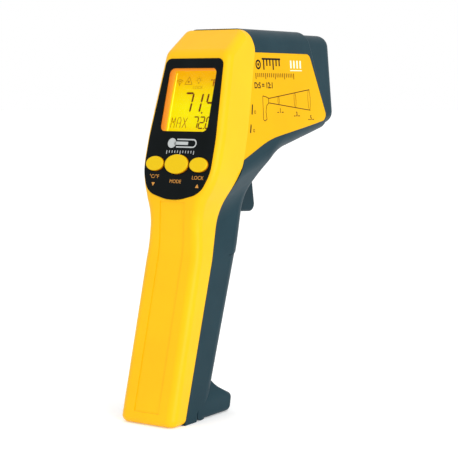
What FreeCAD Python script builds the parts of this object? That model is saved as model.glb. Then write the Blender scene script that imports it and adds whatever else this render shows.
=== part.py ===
import FreeCAD, Part
import math
import os
import Sketcher

Vector = FreeCAD.Vector
Rotation = FreeCAD.Rotation

# ---------------------------------------------------------------------------
# Infrared thermometer with a pistol grip.
# +Y points to the muzzle, +X to the instrument's right-hand side, +Z up.
# The origin is on the flat foot of the grip, just in front of the parting line.
# ---------------------------------------------------------------------------

DIMENSIONS = {
    # housing, seen from the side: straight runs in Y and Z, and the rounding of each corner
    "rear_foot_y": -22.7, "rear_foot_z": -20.0,
    "thumb_hollow_y": 6.4, "thumb_hollow_z": 87.9, "thumb_hollow_round": 50.0,
    "shoulder_y": 7.565, "shoulder_z": 114.5, "shoulder_round": 12.0,
    "brow_y": 29.2, "brow_z": 188.5, "brow_round": 7.5,
    "slope_end_y": 65.5, "slope_end_z": 214.7,
    "front_foot_y": 10.9, "front_foot_z": -20.0,
    "throat_y": 62.2, "throat_z": 132.8, "throat_round": 40.0,
    "chin_y": 139.0, "chin_z": 149.6, "chin_round": 8.0,
    "muzzle_y": 137.5, "muzzle_top_round": 8.5,
    "top_z": 200.8, "yellow_top_z": 200.2,
    # housing, seen from the front: half-widths at each height
    "grip_half": 17.1, "grip_full_z": 82.0, "grip_round": 60.0,
    "neck_half": 15.4, "neck_z": 106.5, "neck_round": 34.0,
    "cheek_half": 24.0, "cheek_z": 124.6, "cheek_round": 44.0,
    "temple_half": 24.0, "temple_z": 146.0, "temple_round": 80.0,
    # flare under the barrel: it rises forwards, and this is its slope
    "flare_rise": 0.32, "flare_neck_round": 20.0, "flare_cheek_round": 10.0,
    "crown_half": 20.1, "crown_round": 6.0, "tall_half": 19.1,
    "door_half": 16.8, "door_edge": 8.5, "door_wall": 2.0,
    # parting line between the two shells
    "part_foot_y": -11.9, "part_foot_z": -20.0,
    "part_neck_y": 27.2, "part_neck_z": 111.0, "part_neck_round": 100.0,
    "part_jaw_y": 36.8, "part_jaw_z": 129.2, "part_jaw_round": 6.0,
    "part_brow_y": 53.2, "part_brow_z": 190.5, "part_brow_round": 7.0,
    "part_top_y": 45.9, "part_top_z": 203.5,
    "part_gap": 0.25,
    # walls and edges
    "wall": 2.2, "nose_inset": 1.5, "nose_wall": 3.7,
    "rear_edge": 4.8, "foot_edge": 3.2,
    "front_edge": 8.0, "nose_low_edge": 6.5,
    # slanted step between the barrel and its nose
    "step_top_y": 107.5, "step_bottom_y": 127.0, "step_bottom_z": 146.5, "step_bevel": 1.3,
    # door of the battery bay
    "door_line_y": 4.4, "door_slope": 0.357, "door_top_z": 83.0, "door_gap": 0.3,
    "heel_front_y": 36.6, "heel_tip_y": 38.3, "heel_tip_z": 8.8,
    "heel_root_y": 23.6, "heel_root_z": 15.6, "heel_round": 3.4, "heel_tip_round": 3.0, "heel_hollow": 8.0,
    "heel_edge": 2.4, "heel_join_z": 24.0, "heel_shoulder_z": 10.5, "heel_top_half": 6.5,
    "hinge_y": 8.53, "hinge_z": 2.7, "hinge_round": 2.7, "hinge_pin_radius": 1.0, "hinge_fit": 0.04,
    "knuckle_radius": 2.4, "knuckle_half": 8.0, "hinge_sweep": 3.7, "hinge_pin_half": 13.0,
    # side label: outline in Y and Z, recess depth and inlay thickness
    "label_top_z": 188.4, "label_nose_y": 108.2, "label_nose_low_y": 124.6, "label_nose_low_z": 151.9,
    "label_belly_y": 63.2, "label_belly_z": 142.7, "label_jaw_y": 36.6, "label_jaw_z": 132.1,
    "label_round": 4.5, "label_nose_round": 3.5, "label_belly_round": 80.0,
    "label_sink": 0.12, "label_depth": 0.55,
    # trigger and its slot
    "pivot_y": 62.0, "pivot_z": 135.2, "slot_half": 11.2, "slot_low_z": 100.8, "slot_front_y": 67.4,
    "slot_back_y": 44.0, "slot_high_z": 137.2,
    "trigger_half": 10.6, "trigger_pin_radius": 1.5, "trigger_pin_half": 13.2, "pin_fit": 0.04,
    "trigger_edge": 1.6, "web_half": 14.5, "web_back_y": 40.2, "web_thick": 2.1,
    "web_low_z": 102.5, "web_high_z": 122.5,
    # muzzle opening
    "muzzle_half": 14.6, "muzzle_low_z": 156.5, "muzzle_high_z": 193.0, "muzzle_round": 4.0,
    "plate_half": 15.9, "plate_low_z": 154.6, "plate_high_z": 194.4, "plate_y": 131.2, "plate_thick": 2.0,
    # infrared optics on the barrel's axis
    "optic_z": 170.0, "tube_radius": 11.0, "tube_bore": 9.5, "tube_start_y": 95.0, "tube_end_y": 133.6,
    "ring_radius": 12.6, "ring_bore": 8.9, "ring_thick": 1.9,
    "lens_y": 127.0, "lens_rim": 1.4, "lens_bulge": 1.5,
    "can_radius": 4.1, "can_flange": 4.6, "can_tall": 4.4,
    "sensor_board_y": 87.5, "sensor_board_half": 15.5, "sensor_board_low_z": 153.0,
    "sensor_board_high_z": 192.0, "board_thick": 1.6,
    # aiming laser above the optics
    "laser_z": 187.4, "laser_radius": 3.2, "laser_start_y": 108.0, "laser_long": 17.0,
    "laser_window_radius": 2.6, "holder_half": 6.2, "holder_start_y": 110.0, "holder_long": 11.0,
    "holder_low_z": 182.0, "holder_high_z": 192.4,
    # key panel, measured on the sloping rear plane: across it, up it, and out from it
    "key_row_z": 130.7, "panel_thick": 0.8, "panel_proud": 0.4, "panel_fit": 0.08, "tool_reach": 6.0,
    "panel_top": 56.6, "panel_top_half": 17.9, "panel_top_round": 3.5,
    "panel_waist": 14.0, "panel_half": 20.9, "panel_waist_round": 80.0,
    "panel_hip": -4.0, "panel_hip_round": 22.0,
    "panel_knee": -15.0, "panel_knee_half": 16.4, "panel_knee_round": 10.0,
    "panel_toe": -19.6, "panel_toe_round": 28.0,
    "window_low": 17.5, "window_high": 51.4, "window_half": 15.0, "window_round": 3.0,
    "window_thick": 0.7, "frame_wall": 0.9, "frame_deep": 5.2, "frame_lip": 1.1, "frame_lip_wide": 1.7,
    "glass_low": 13.2, "glass_high": 53.0, "glass_half": 16.4, "glass_thick": 1.6,
    "backlight_low": 16.4, "backlight_thick": 2.2, "connector_low": 13.6, "connector_high": 15.8,
    "board_depth": 11.0, "board_half": 17.0, "board_top": 55.5, "board_waist": -5.0,
    "board_toe": -12.6, "board_toe_half": 11.5,
    # keys
    "key_pitch": 13.8, "key_small_half": 5.55, "key_small_rise": 3.85,
    "key_large_half": 7.3, "key_large_rise": 5.15, "key_gap": 0.3, "key_proud": 1.9,
    "key_flange": 0.8, "key_flange_side": 0.3, "key_flange_thick": 0.7, "key_flange_depth": 2.5,
    "key_edge": 0.7,
    "key_stem_radius": 1.5, "key_stem_end": 6.0, "switch_side": 6.0, "switch_tall": 3.5,
    "plunger_radius": 1.6, "plunger_tall": 0.6,
    "boss_radius": 1.9, "boss_pitch": 8.7, "boss_high": 7.9, "boss_low": -9.2,
    "screw_radius": 0.9, "screw_long": 7.0, "screw_head_radius": 1.7, "screw_head_tall": 1.2,
    # battery bay, in the grip
    "cell_wide": 26.5, "cell_thick": 17.5, "cell_long": 46.0, "cell_edge": 2.0,
    "cell_y": 13.5, "cell_z": 41.5, "post_radius": 2.9, "post_tall": 2.6, "post_pitch": 6.35,
    "snap_wide": 25.0, "snap_deep": 12.5, "snap_thick": 2.6, "pad_wide": 18.0, "pad_long": 34.0,
    "pad_thick": 5.5, "rib_thick": 1.8, "rib_deep": 8.7, "rib_half": 12.0,
    "lead_radius": 0.75, "lead_spread": 4.0,
    "lug_low_half": 5.0, "lug_high_half": 13.0, "lug_y": 1.0, "lug_thick": 2.0, "lug_z": 11.5,
    "case_screw_x": 9.0, "case_screw_z": 7.2, "case_screw_radius": 1.2, "case_screw_long": 12.0,
    "case_head_radius": 2.4, "case_head_tall": 1.6, "case_boss_radius": 3.0,
}


class Size:
    """A length that carries both its number and the sheet expression it comes from."""

    def __init__(self, number, text):
        self.number = float(number)
        self.text = text

    def _join(self, other, sign, number):
        other_text = other.text if isinstance(other, Size) else "%.6g" % other
        return Size(number, "(%s %s %s)" % (self.text, sign, other_text))

    def __add__(self, other):
        return self._join(other, "+", self.number + float(other))

    def __sub__(self, other):
        return self._join(other, "-", self.number - float(other))

    def __mul__(self, other):
        return self._join(other, "*", self.number * float(other))

    def __truediv__(self, other):
        return self._join(other, "/", self.number / float(other))

    def __neg__(self):
        return Size(-self.number, "(0 - %s)" % self.text)

    def __float__(self):
        return self.number


doc = FreeCAD.newDocument("infrared_thermometer")
sheet = doc.addObject("Spreadsheet::Sheet", "Dims")
for row, (alias, value) in enumerate(DIMENSIONS.items(), start=1):
    sheet.set("A%d" % row, alias)
    sheet.set("B%d" % row, repr(value))
    sheet.setAlias("B%d" % row, alias)
doc.recompute()


def size(alias):
    return Size(DIMENSIONS[alias], "Dims." + alias)


def bind(target, prop, value):
    """Set a property, and tie it to the sheet when the value comes from there."""
    if isinstance(value, Size):
        target.setExpression(prop, value.text)
    else:
        setattr(target, prop, value)


# --- sketches ---------------------------------------------------------------

ZERO = 0.0
SIDE_VIEW = Rotation(0.5, 0.5, 0.5, 0.5)          # sketch x -> Y, sketch y -> Z
FRONT_VIEW = Rotation(Vector(1, 0, 0), 90)        # sketch x -> X, sketch y -> Z


def fix_point(sketch, index, position, across, up):
    """Hold one point of a sketch at its distances from the origin."""
    for kind, value in (("DistanceX", across), ("DistanceY", up)):
        number = sketch.addConstraint(Sketcher.Constraint(kind, -1, 1, index, position, float(value)))
        if isinstance(value, Size):
            sketch.setExpression("Constraints[%d]" % number, value.text)


def draw_outline(sketch, corners):
    """Closed outline through corners (across, up, radius); a radius of 0 leaves a corner sharp."""
    count = len(corners)
    points = [Vector(float(across), float(up), 0) for across, up, _ in corners]
    entries, exits, arcs = [], [], []
    for i, (_, _, radius) in enumerate(corners):
        before = (points[i - 1] - points[i]).normalize()
        after = (points[(i + 1) % count] - points[i]).normalize()
        if not float(radius):
            entries.append(points[i])
            exits.append(points[i])
            arcs.append(None)
            continue
        half_angle = before.getAngle(after) / 2
        reach = float(radius) / math.tan(half_angle)
        entries.append(points[i] + before * reach)
        exits.append(points[i] + after * reach)
        centre = points[i] + (before + after).normalize() * (float(radius) / math.sin(half_angle))
        turns_left = (-before).cross(after).z > 0
        first, last = (entries[i], exits[i]) if turns_left else (exits[i], entries[i])
        start = math.atan2(first.y - centre.y, first.x - centre.x)
        end = math.atan2(last.y - centre.y, last.x - centre.x)
        circle = Part.Circle(centre, Vector(0, 0, 1), float(radius))
        arc = sketch.addGeometry(Part.ArcOfCircle(circle, start, end))
        arcs.append((arc, 1 if turns_left else 2, 2 if turns_left else 1))
    lines = [sketch.addGeometry(Part.LineSegment(exits[i], entries[(i + 1) % count])) for i in range(count)]
    for i, (across, up, radius) in enumerate(corners):
        if arcs[i] is None:
            sketch.addConstraint(Sketcher.Constraint("Coincident", lines[i - 1], 2, lines[i], 1))
            fix_point(sketch, lines[i], 1, across, up)
            continue
        arc, entry_end, exit_end = arcs[i]
        sketch.addConstraint(Sketcher.Constraint("Tangent", lines[i - 1], 2, arc, entry_end))
        sketch.addConstraint(Sketcher.Constraint("Tangent", arc, exit_end, lines[i], 1))
        number = sketch.addConstraint(Sketcher.Constraint("Radius", arc, float(radius)))
        if isinstance(radius, Size):
            sketch.setExpression("Constraints[%d]" % number, radius.text)
        corner = sketch.addGeometry(Part.Point(points[i]), True)
        sketch.addConstraint(Sketcher.Constraint("PointOnObject", corner, 1, lines[i - 1]))
        sketch.addConstraint(Sketcher.Constraint("PointOnObject", corner, 1, lines[i]))
        fix_point(sketch, corner, 1, across, up)


def outline_sketch(name, view, corners):
    sketch = doc.addObject("Sketcher::SketchObject", name)
    sketch.Placement = FreeCAD.Placement(Vector(0, 0, 0), view)
    draw_outline(sketch, corners)
    return sketch


# --- solids from sketches, and booleans -------------------------------------

THROUGH = 400.0


def prism(name, profile, direction, length=THROUGH, symmetric=True):
    """Straight extrusion of a profile, by default through the whole object."""
    solid = doc.addObject("Part::Extrusion", name)
    solid.Base = profile
    solid.DirMode = "Custom"
    solid.Dir = direction
    bind(solid, "LengthFwd", length)
    solid.Symmetric = symmetric
    solid.Solid = True
    return solid


def inset_corners(corners, distance):
    """The corners of the same outline with every side moved inwards by a distance."""
    points = [Vector(float(across), float(up), 0) for across, up, _ in corners]
    count = len(points)
    area = sum(points[i - 1].x * points[i].y - points[i].x * points[i - 1].y for i in range(count))
    side = 1.0 if area > 0 else -1.0
    result = []
    for i, (_, _, radius) in enumerate(corners):
        arriving = (points[i] - points[i - 1]).normalize()
        leaving = (points[(i + 1) % count] - points[i]).normalize()
        turn = side * arriving.cross(leaving).z
        first = Vector(-arriving.y, arriving.x, 0) * side
        second = Vector(-leaving.y, leaving.x, 0) * side
        move = (first + second) * (float(distance) / (1.0 + first.dot(second)))
        change = -float(distance) if turn > 0 else float(distance)
        smaller = max(float(radius) + change, 0.0) if float(radius) else 0.0
        result.append((points[i].x + move.x, points[i].y + move.y, smaller))
    return result


def common(name, first, second):
    result = doc.addObject("Part::Common", name)
    result.Base = first
    result.Tool = second
    return result


def cut(name, base, *tools):
    result = base
    for number, tool in enumerate(tools):
        step = doc.addObject("Part::Cut", name if number == len(tools) - 1 else "%s_%d" % (name, number))
        step.Base = result
        step.Tool = tool
        result = step
    return result


def fuse(name, *parts):
    result = doc.addObject("Part::MultiFuse", name)
    result.Shapes = list(parts)
    return result


def face_normal(face):
    point = face.CenterOfMass
    return face.normalAt(*face.Surface.parameter(point))


def rounded(name, base, wanted, radius):
    """Round the edges that wanted(edge, the normals of its two faces) accepts."""
    doc.recompute()
    shape = base.Shape
    chosen = []
    for number, edge in enumerate(shape.Edges, start=1):
        faces = shape.ancestorsOfType(edge, Part.Face)
        if len(faces) == 2 and wanted(edge, [face_normal(f) for f in faces]):
            chosen.append((number, float(radius), float(radius)))
    result = doc.addObject("Part::Fillet", name)
    result.Base = base
    result.Edges = chosen
    return result


# --- the housing's outlines --------------------------------------------------

def corner(name, round_name=None):
    radius = size(round_name) if round_name else ZERO
    return size(name + "_y"), size(name + "_z"), radius


def mirrored(right):
    """A symmetrical outline from the corners of its right half, lowest first."""
    return right + [(-across, up, radius) for across, up, radius in reversed(right)]


GRIP_AND_CHEEKS = [
    (size("grip_half"), ZERO, ZERO),
    (size("grip_half"), size("grip_full_z"), size("grip_round")),
    (size("neck_half"), size("neck_z"), size("neck_round")),
    (size("cheek_half"), size("cheek_z"), size("cheek_round")),
]
STRAIGHT_SIDES = [(size("cheek_half"), ZERO, ZERO)]
TEMPLE = (size("temple_half"), size("temple_z"), size("temple_round"))
TALL = (size("tall_half"), size("slope_end_z"), ZERO)


def crown(top_z):
    """Rounded top corner of the front view."""
    return size("crown_half"), top_z, size("crown_round")


ALONG_X = Vector(1, 0, 0)
ALONG_Y = Vector(0, 1, 0)

REAR_SIDE = [
    corner("rear_foot"),
    (size("slope_end_y"), size("rear_foot_z"), ZERO),
    corner("slope_end"),
    corner("brow", "brow_round"),
    corner("shoulder", "shoulder_round"),
    corner("thumb_hollow", "thumb_hollow_round"),
]
FRONT_SIDE = [
    corner("rear_foot"),
    corner("front_foot"),
    corner("throat", "throat_round"),
    corner("chin", "chin_round"),
    (size("muzzle_y"), size("top_z"), size("muzzle_top_round")),
    (size("rear_foot_y"), size("top_z"), ZERO),
]
REAR_WIDTH = mirrored(GRIP_AND_CHEEKS + [TEMPLE, TALL])
YELLOW_WIDTH = mirrored(GRIP_AND_CHEEKS + [TEMPLE, crown(size("yellow_top_z"))])
BARREL_WIDTH = mirrored(STRAIGHT_SIDES + [TEMPLE, TALL])
SLATE_WIDTH = mirrored(STRAIGHT_SIDES + [TEMPLE, crown(size("top_z"))])


def side_prism(name, corners, distance=0.0, length=THROUGH):
    """Solid with the given side view, its outline moved inwards by a distance."""
    corners = inset_corners(corners, distance) if float(distance) else corners
    return prism(name, outline_sketch(name + "_view", SIDE_VIEW, corners), ALONG_X, length)


def width_prism(name, corners, distance=0.0):
    """Solid with the given front view, its outline moved inwards by a distance."""
    corners = inset_corners(corners, distance) if float(distance) else corners
    return prism(name, outline_sketch(name + "_view", FRONT_VIEW, corners), ALONG_Y)


def envelope(name, side, width, distance=0.0):
    return common(name, side_prism(name + "_side", side, distance),
                  width_prism(name + "_width", width, distance))


def parting_corners(shift):
    """The parting line, moved forward by a shift."""
    return [
        (size("part_foot_y") + shift, size("part_foot_z"), ZERO),
        (size("part_neck_y") + shift, size("part_neck_z"), size("part_neck_round")),
        (size("part_jaw_y") + shift, size("part_jaw_z"), size("part_jaw_round")),
        (size("part_brow_y") + shift, size("part_brow_z"), size("part_brow_round")),
        (size("part_top_y") + shift, size("part_top_z"), ZERO),
    ]


FAR = 250.0
BEHIND_PARTING = [(-FAR, size("part_foot_z"), ZERO)] + parting_corners(0.0) + [
    (-FAR, size("part_top_z"), ZERO)]
AHEAD_OF_PARTING = [(FAR, size("part_top_z"), ZERO)] + parting_corners(size("part_gap"))[::-1] + [
    (FAR, size("part_foot_z"), ZERO)]


def parting_y(height):
    """Y of the parting line at a height, its roundings left out."""
    above_neck = float(height) > DIMENSIONS["part_neck_z"]
    low, high = ("part_neck", "part_jaw") if above_neck else ("part_foot", "part_neck")
    run = (size(high + "_y") - size(low + "_y")) / (size(high + "_z") - size(low + "_z"))
    return size("part_neck_y") + run * (height - size("part_neck_z"))


def flare_height(alias):
    """Where the flare line that crosses the parting line at a height meets the plane Y = 0."""
    return size(alias) - parting_y(size(alias)) * size("flare_rise")


FLARE_LOW = -60.0
FLARE_HIGH = 300.0
FLARE_WIDE = 40.0
neck_line, cheek_line = flare_height("neck_z"), flare_height("cheek_z")
FLARE_STEEPNESS = (cheek_line - neck_line) / (size("cheek_half") - size("neck_half"))
FLARE = mirrored([
    (size("grip_half"), FLARE_LOW, ZERO),
    (size("grip_half"), flare_height("grip_full_z"), size("grip_round")),
    (size("neck_half"), neck_line, size("flare_neck_round")),
    (FLARE_WIDE, neck_line + FLARE_STEEPNESS * (FLARE_WIDE - DIMENSIONS["neck_half"]), ZERO),
    (FLARE_WIDE, FLARE_HIGH, ZERO),
])


def flare_prism(name, distance):
    """Grip, neck and flare of the front shell, drawn out along the rising flare line."""
    corners = inset_corners(FLARE, distance) if float(distance) else FLARE
    solid = prism(name, outline_sketch(name + "_view", FRONT_VIEW, corners),
                  Vector(0, 1, DIMENSIONS["flare_rise"]))
    solid.setExpression("Dir.z", size("flare_rise").text)
    return solid


def is_side(normal):
    return abs(normal.x) > 0.6


def cheek_edge(edge, normals):
    """The two straight edges where the flare meets the barrel's upright sides."""
    middle = edge.CenterOfMass
    bends = abs(abs(normals[0].z) - abs(normals[1].z)) > 0.2
    return bends and all(is_side(n) for n in normals) and edge.Length > 10 \
        and edge.BoundBox.XLength < 0.01 and middle.z < DIMENSIONS["optic_z"] \
        and abs(middle.x) > DIMENSIONS["crown_half"]


def flared(name, straight, distance=0.0):
    """A body trimmed to the flare, which is moved inwards by a distance."""
    return common(name, straight, flare_prism(name + "_flare", distance))


def cheeked(name, straight, distance=0.0):
    """The same, with the edges along the cheeks rounded."""
    return rounded(name, flared(name + "_sharp", straight, distance), cheek_edge,
                   size("flare_cheek_round") - distance)


def rear_corner(edge, normals):
    """Edges where a side of the housing meets its rear."""
    sides = [n for n in normals if is_side(n)]
    others = [n for n in normals if not is_side(n)]
    return len(sides) == 1 and others[0].y < -0.3


def front_corner(edge, normals):
    """Edges where a side meets the barrel's underside, the throat or the front of the grip."""
    sides = [n for n in normals if is_side(n)]
    others = [n for n in normals if not is_side(n)]
    return len(sides) == 1 and (others[0].y > 0.3 or others[0].z < -0.3) and edge.BoundBox.ZMax > 1.0


# --- rear shell ---------------------------------------------------------------

def rear_foot(edge, normals):
    """Edges between the flat foot and the rear and sides of the grip."""
    return any(n.z < -0.9 for n in normals) and edge.BoundBox.ZMax < 0.1 and edge.BoundBox.YMin < 40


wall = size("wall")
rear_block = rounded("rear_block", envelope("rear_envelope", REAR_SIDE, REAR_WIDTH), rear_corner,
                     size("rear_edge"))
rear_crowned = common("rear_crowned", rear_block, width_prism("yellow_crown", YELLOW_WIDTH))
rear_cropped = common("rear_cropped", rear_crowned, side_prism("behind_parting", BEHIND_PARTING))
rear_half = rounded("rear_half", rear_cropped, rear_foot, size("foot_edge"))
rear_hollow = rounded("rear_hollow", envelope("rear_hollow_envelope", REAR_SIDE, REAR_WIDTH, wall),
                      rear_corner, size("rear_edge") - wall)
CEILING_MARGIN = 1.2


def attic(name, top_z):
    """Room under the crown: a flat ceiling a wall's thickness down, with sloping corners."""
    eaves = size("cheek_half") * 1.5
    half_ceiling = size("crown_half") - size("crown_round") + CEILING_MARGIN
    right = [(eaves, size("rear_foot_z"), ZERO), (eaves, top_z - size("crown_round") * 3.0, ZERO),
             (half_ceiling, top_z - wall, ZERO)]
    return width_prism(name, mirrored(right))


rear_hollow_crowned = common("rear_hollow_crowned", rear_hollow, attic("rear_attic", size("yellow_top_z")))
rear_open = cut("rear_open", rear_half, rear_hollow_crowned)

# --- front shell ----------------------------------------------------------------

STEP_REACH = 30.0
STEP_SLOPE = (size("step_bottom_y") - size("step_top_y")) / (size("top_z") - size("step_bottom_z"))


def behind_step(shift):
    """Everything behind the slanted step, moved forward by a shift."""
    return [
        (size("step_top_y") - STEP_SLOPE * STEP_REACH + shift, size("top_z") + STEP_REACH, ZERO),
        (-FAR, size("top_z") + STEP_REACH, ZERO),
        (-FAR, size("part_foot_z"), ZERO),
        (size("step_bottom_y") + STEP_SLOPE * STEP_REACH + shift, size("part_foot_z"), ZERO),
        (size("step_bottom_y") + STEP_SLOPE * STEP_REACH + shift, size("step_bottom_z") - STEP_REACH, ZERO),
    ]


def step_rim(edge, normals):
    """Edges round the barrel's front face, where the nose leaves it."""
    return any(n.y > 0.85 and abs(n.x) < 0.1 for n in normals) and edge.BoundBox.YMin > 100


barrel_cheeked = cheeked("barrel_cheeked", envelope("barrel_envelope", FRONT_SIDE, BARREL_WIDTH))
barrel_block = rounded("barrel_block", barrel_cheeked, front_corner, size("front_edge"))
barrel_crowned = common("barrel_crowned", barrel_block, width_prism("slate_crown", SLATE_WIDTH))
barrel_body = rounded("barrel_body", common("barrel_cropped", barrel_crowned,
                                            side_prism("behind_step", behind_step(0.0))),
                      step_rim, size("step_bevel"))
nose_inset = size("nose_inset")
nose_straight = rounded("nose_straight", envelope("nose_envelope", FRONT_SIDE, BARREL_WIDTH, nose_inset),
                        front_corner, size("nose_low_edge"))
nose_block = flared("nose_block", nose_straight, nose_inset)
nose_crowned = common("nose_crowned", nose_block, width_prism("nose_crown", SLATE_WIDTH, nose_inset))
NOSE_OVERLAP = 4.0
nose_body = cut("nose_body", nose_crowned, side_prism("behind_nose", behind_step(-NOSE_OVERLAP)))
front_block = common("front_block", fuse("front_outside", barrel_body, nose_body),
                     side_prism("ahead_of_parting", AHEAD_OF_PARTING))

hollow_straight = rounded("hollow_straight", envelope("hollow_envelope", FRONT_SIDE, REAR_WIDTH, wall),
                          front_corner, size("front_edge") - wall)
barrel_hollow = flared("barrel_hollow", hollow_straight, wall)
barrel_hollow_crowned = common("barrel_hollow_crowned", barrel_hollow, attic("barrel_attic", size("top_z")))
barrel_hollow_body = common("barrel_hollow_body", barrel_hollow_crowned,
                            side_prism("behind_step_inside", behind_step(-wall)))
nose_wall = size("nose_wall")
nose_room = flared("nose_room", envelope("nose_room_envelope", FRONT_SIDE, BARREL_WIDTH, nose_wall),
                   nose_wall)
nose_hollow = common("nose_hollow", nose_room, attic("nose_attic", size("top_z") - nose_inset))

# The grip's front is the battery door, ahead of a straight line from the foot to the finger notch.
DOOR_LINE = size("door_line_y")
DOOR_TOP = size("door_top_z")
NOTCH_RISE = 3.0
NOTCH_REACH = 30.0


def door_line(height, shift=0.0):
    """Y of the door line at a height."""
    return DOOR_LINE + size("door_slope") * float(height) + shift


GRIP_RUN = (size("throat_y") - size("front_foot_y")) / (size("throat_z") - size("front_foot_z"))


def grip_front(height):
    """Y of the grip's front at a height."""
    return size("front_foot_y") + GRIP_RUN * (float(height) - DIMENSIONS["front_foot_z"])


DOOR_OPENING = [
    (door_line(-20), size("part_foot_z"), ZERO),
    (FAR, size("part_foot_z"), ZERO),
    (FAR, DOOR_TOP + NOTCH_RISE, ZERO),
    (door_line(DOOR_TOP) + NOTCH_REACH, DOOR_TOP + NOTCH_RISE, ZERO),
    (door_line(DOOR_TOP), DOOR_TOP, ZERO),
]


def place(target, x, y, z, rotation=Rotation()):
    """Put an object at a point, tied to the sheet where the point comes from there."""
    target.Placement = FreeCAD.Placement(Vector(float(x), float(y), float(z)), rotation)
    for axis, value in (("x", x), ("y", y), ("z", z)):
        if isinstance(value, Size):
            target.setExpression("Placement.Base." + axis, value.text)
    return target


def cylinder(name, radius, length, x, y, z, rotation=Rotation()):
    solid = doc.addObject("Part::Cylinder", name)
    bind(solid, "Radius", radius)
    bind(solid, "Height", length)
    return place(solid, x, y, z, rotation)


def block(name, long_x, long_y, long_z, x, y, z, rotation=Rotation()):
    solid = doc.addObject("Part::Box", name)
    bind(solid, "Length", long_x)
    bind(solid, "Width", long_y)
    bind(solid, "Height", long_z)
    return place(solid, x, y, z, rotation)


TO_X = Rotation(Vector(0, 1, 0), 90)
TO_Y = Rotation(Vector(1, 0, 0), -90)


def across(name, radius, half, y, z):
    """Cylinder along X, centred on the object's middle plane."""
    return cylinder(name, radius, half * 2, -half, y, z, TO_X)


# Trigger slot and the two lugs that carry the trigger's pin
TRIGGER_SLOT = [
    (size("slot_back_y"), size("slot_low_z"), ZERO),
    (size("slot_front_y"), size("slot_low_z"), ZERO),
    (size("slot_front_y"), size("slot_high_z"), ZERO),
    (size("slot_back_y"), size("slot_high_z"), ZERO),
]
LUG_LONG = 11.0
LUG_DROP = 10.0
LUG_HIGH = 14.0
LUG_THICK = 2.2


def pivot_lug(name, x):
    """Lug beside the slot, trimmed to the outside of the housing."""
    lug_block = block(name + "_block", LUG_THICK, LUG_LONG, LUG_HIGH, x, size("pivot_y") - LUG_LONG / 2,
                      size("pivot_z") - LUG_DROP)
    return common(name, lug_block, front_block)


slot_half = size("slot_half")
pivot_lugs = [pivot_lug("pivot_lug_right", slot_half), pivot_lug("pivot_lug_left", -slot_half - LUG_THICK)]
web_half = size("web_half")
switch_web = block("switch_web", web_half * 2, size("web_thick"), size("web_high_z") - size("web_low_z"),
                   -web_half, size("web_back_y"), size("web_low_z"))

# Side labels sit in shallow recesses that end at the parting line.
LABEL_TAIL_Y = 15.0
LABEL_RISE = (size("label_belly_z") - size("label_jaw_z")) / (size("label_belly_y") - size("label_jaw_y"))
LABEL = [
    (LABEL_TAIL_Y, size("label_belly_z") - LABEL_RISE * (size("label_belly_y") - LABEL_TAIL_Y), ZERO),
    (size("label_belly_y"), size("label_belly_z"), size("label_belly_round")),
    (size("label_nose_low_y"), size("label_nose_low_z"), size("label_nose_round")),
    (size("label_nose_y"), size("label_top_z"), size("label_round")),
    (LABEL_TAIL_Y, size("label_top_z"), ZERO),
]
label_tool = side_prism("label_tool", LABEL)


def flank(name, distance):
    """The barrel's sides, moved inwards by a distance."""
    return cheeked(name, width_prism(name + "_width", BARREL_WIDTH, distance), distance)


recess_core = flank("recess_core", size("label_depth"))
label_recess = cut("label_recess", label_tool, recess_core)

muzzle_opening = prism("muzzle_opening", outline_sketch("muzzle_opening_view", FRONT_VIEW, [
    (size("muzzle_half"), size("muzzle_low_z"), size("muzzle_round")),
    (size("muzzle_half"), size("muzzle_high_z"), size("muzzle_round")),
    (-size("muzzle_half"), size("muzzle_high_z"), size("muzzle_round")),
    (-size("muzzle_half"), size("muzzle_low_z"), size("muzzle_round")),
]), ALONG_Y, size("plate_y"), symmetric=False)
place(muzzle_opening, ZERO, size("plate_y"), ZERO)

front_hull = cut("front_hull", front_block, barrel_hollow_body, nose_hollow, label_recess,
                 side_prism("door_opening", DOOR_OPENING),
                 across("hinge_sweep", size("hinge_sweep"), size("cheek_half"), size("hinge_y"),
                        size("hinge_z")),
                 side_prism("trigger_slot", TRIGGER_SLOT, 0.0, slot_half * 2),
                 muzzle_opening)

# Hinge of the door: the shell holds the pin in a middle knuckle, the door turns on two outer ones.
hinge_y, hinge_z = size("hinge_y"), size("hinge_z")
knuckle_half = size("knuckle_half")
KNUCKLE_WEB_LOW = 0.4
KNUCKLE_WEB_LONG = 7.0
shell_knuckle = across("shell_knuckle", size("knuckle_radius"), knuckle_half, hinge_y, hinge_z)
knuckle_web = block("knuckle_web", knuckle_half * 2, KNUCKLE_WEB_LONG, wall - KNUCKLE_WEB_LOW, -knuckle_half,
                    hinge_y - KNUCKLE_WEB_LONG, KNUCKLE_WEB_LOW)
hinge_bore = across("hinge_bore", size("hinge_pin_radius"), size("grip_half"), hinge_y, hinge_z)
pivot_bore = across("pivot_bore", size("trigger_pin_radius"), size("grip_half"), size("pivot_y"),
                    size("pivot_z"))

# Two lugs at the foot take the case screws, whose bosses stand on the rear shell.
lug_wide = size("lug_high_half") - size("lug_low_half")
screw_x, screw_z = size("case_screw_x"), size("case_screw_z")
lug_y = size("lug_y")
LUG_FOOT = 1.0


def case_lug(name, x):
    return block(name, lug_wide, size("lug_thick"), size("lug_z") - LUG_FOOT, x, lug_y, LUG_FOOT)


case_lugs = [case_lug("case_lug_right", size("lug_low_half")),
             case_lug("case_lug_left", -size("lug_high_half"))]
screw_hole_start = lug_y + size("lug_thick") - size("case_screw_long")


def both_sides(name, radius, length, y, z, x):
    """The same cylinder along Y on both sides of the middle plane."""
    return fuse(name, cylinder(name + "_right", radius, length, x, y, z, TO_Y),
                cylinder(name + "_left", radius, length, -x, y, z, TO_Y))


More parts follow.
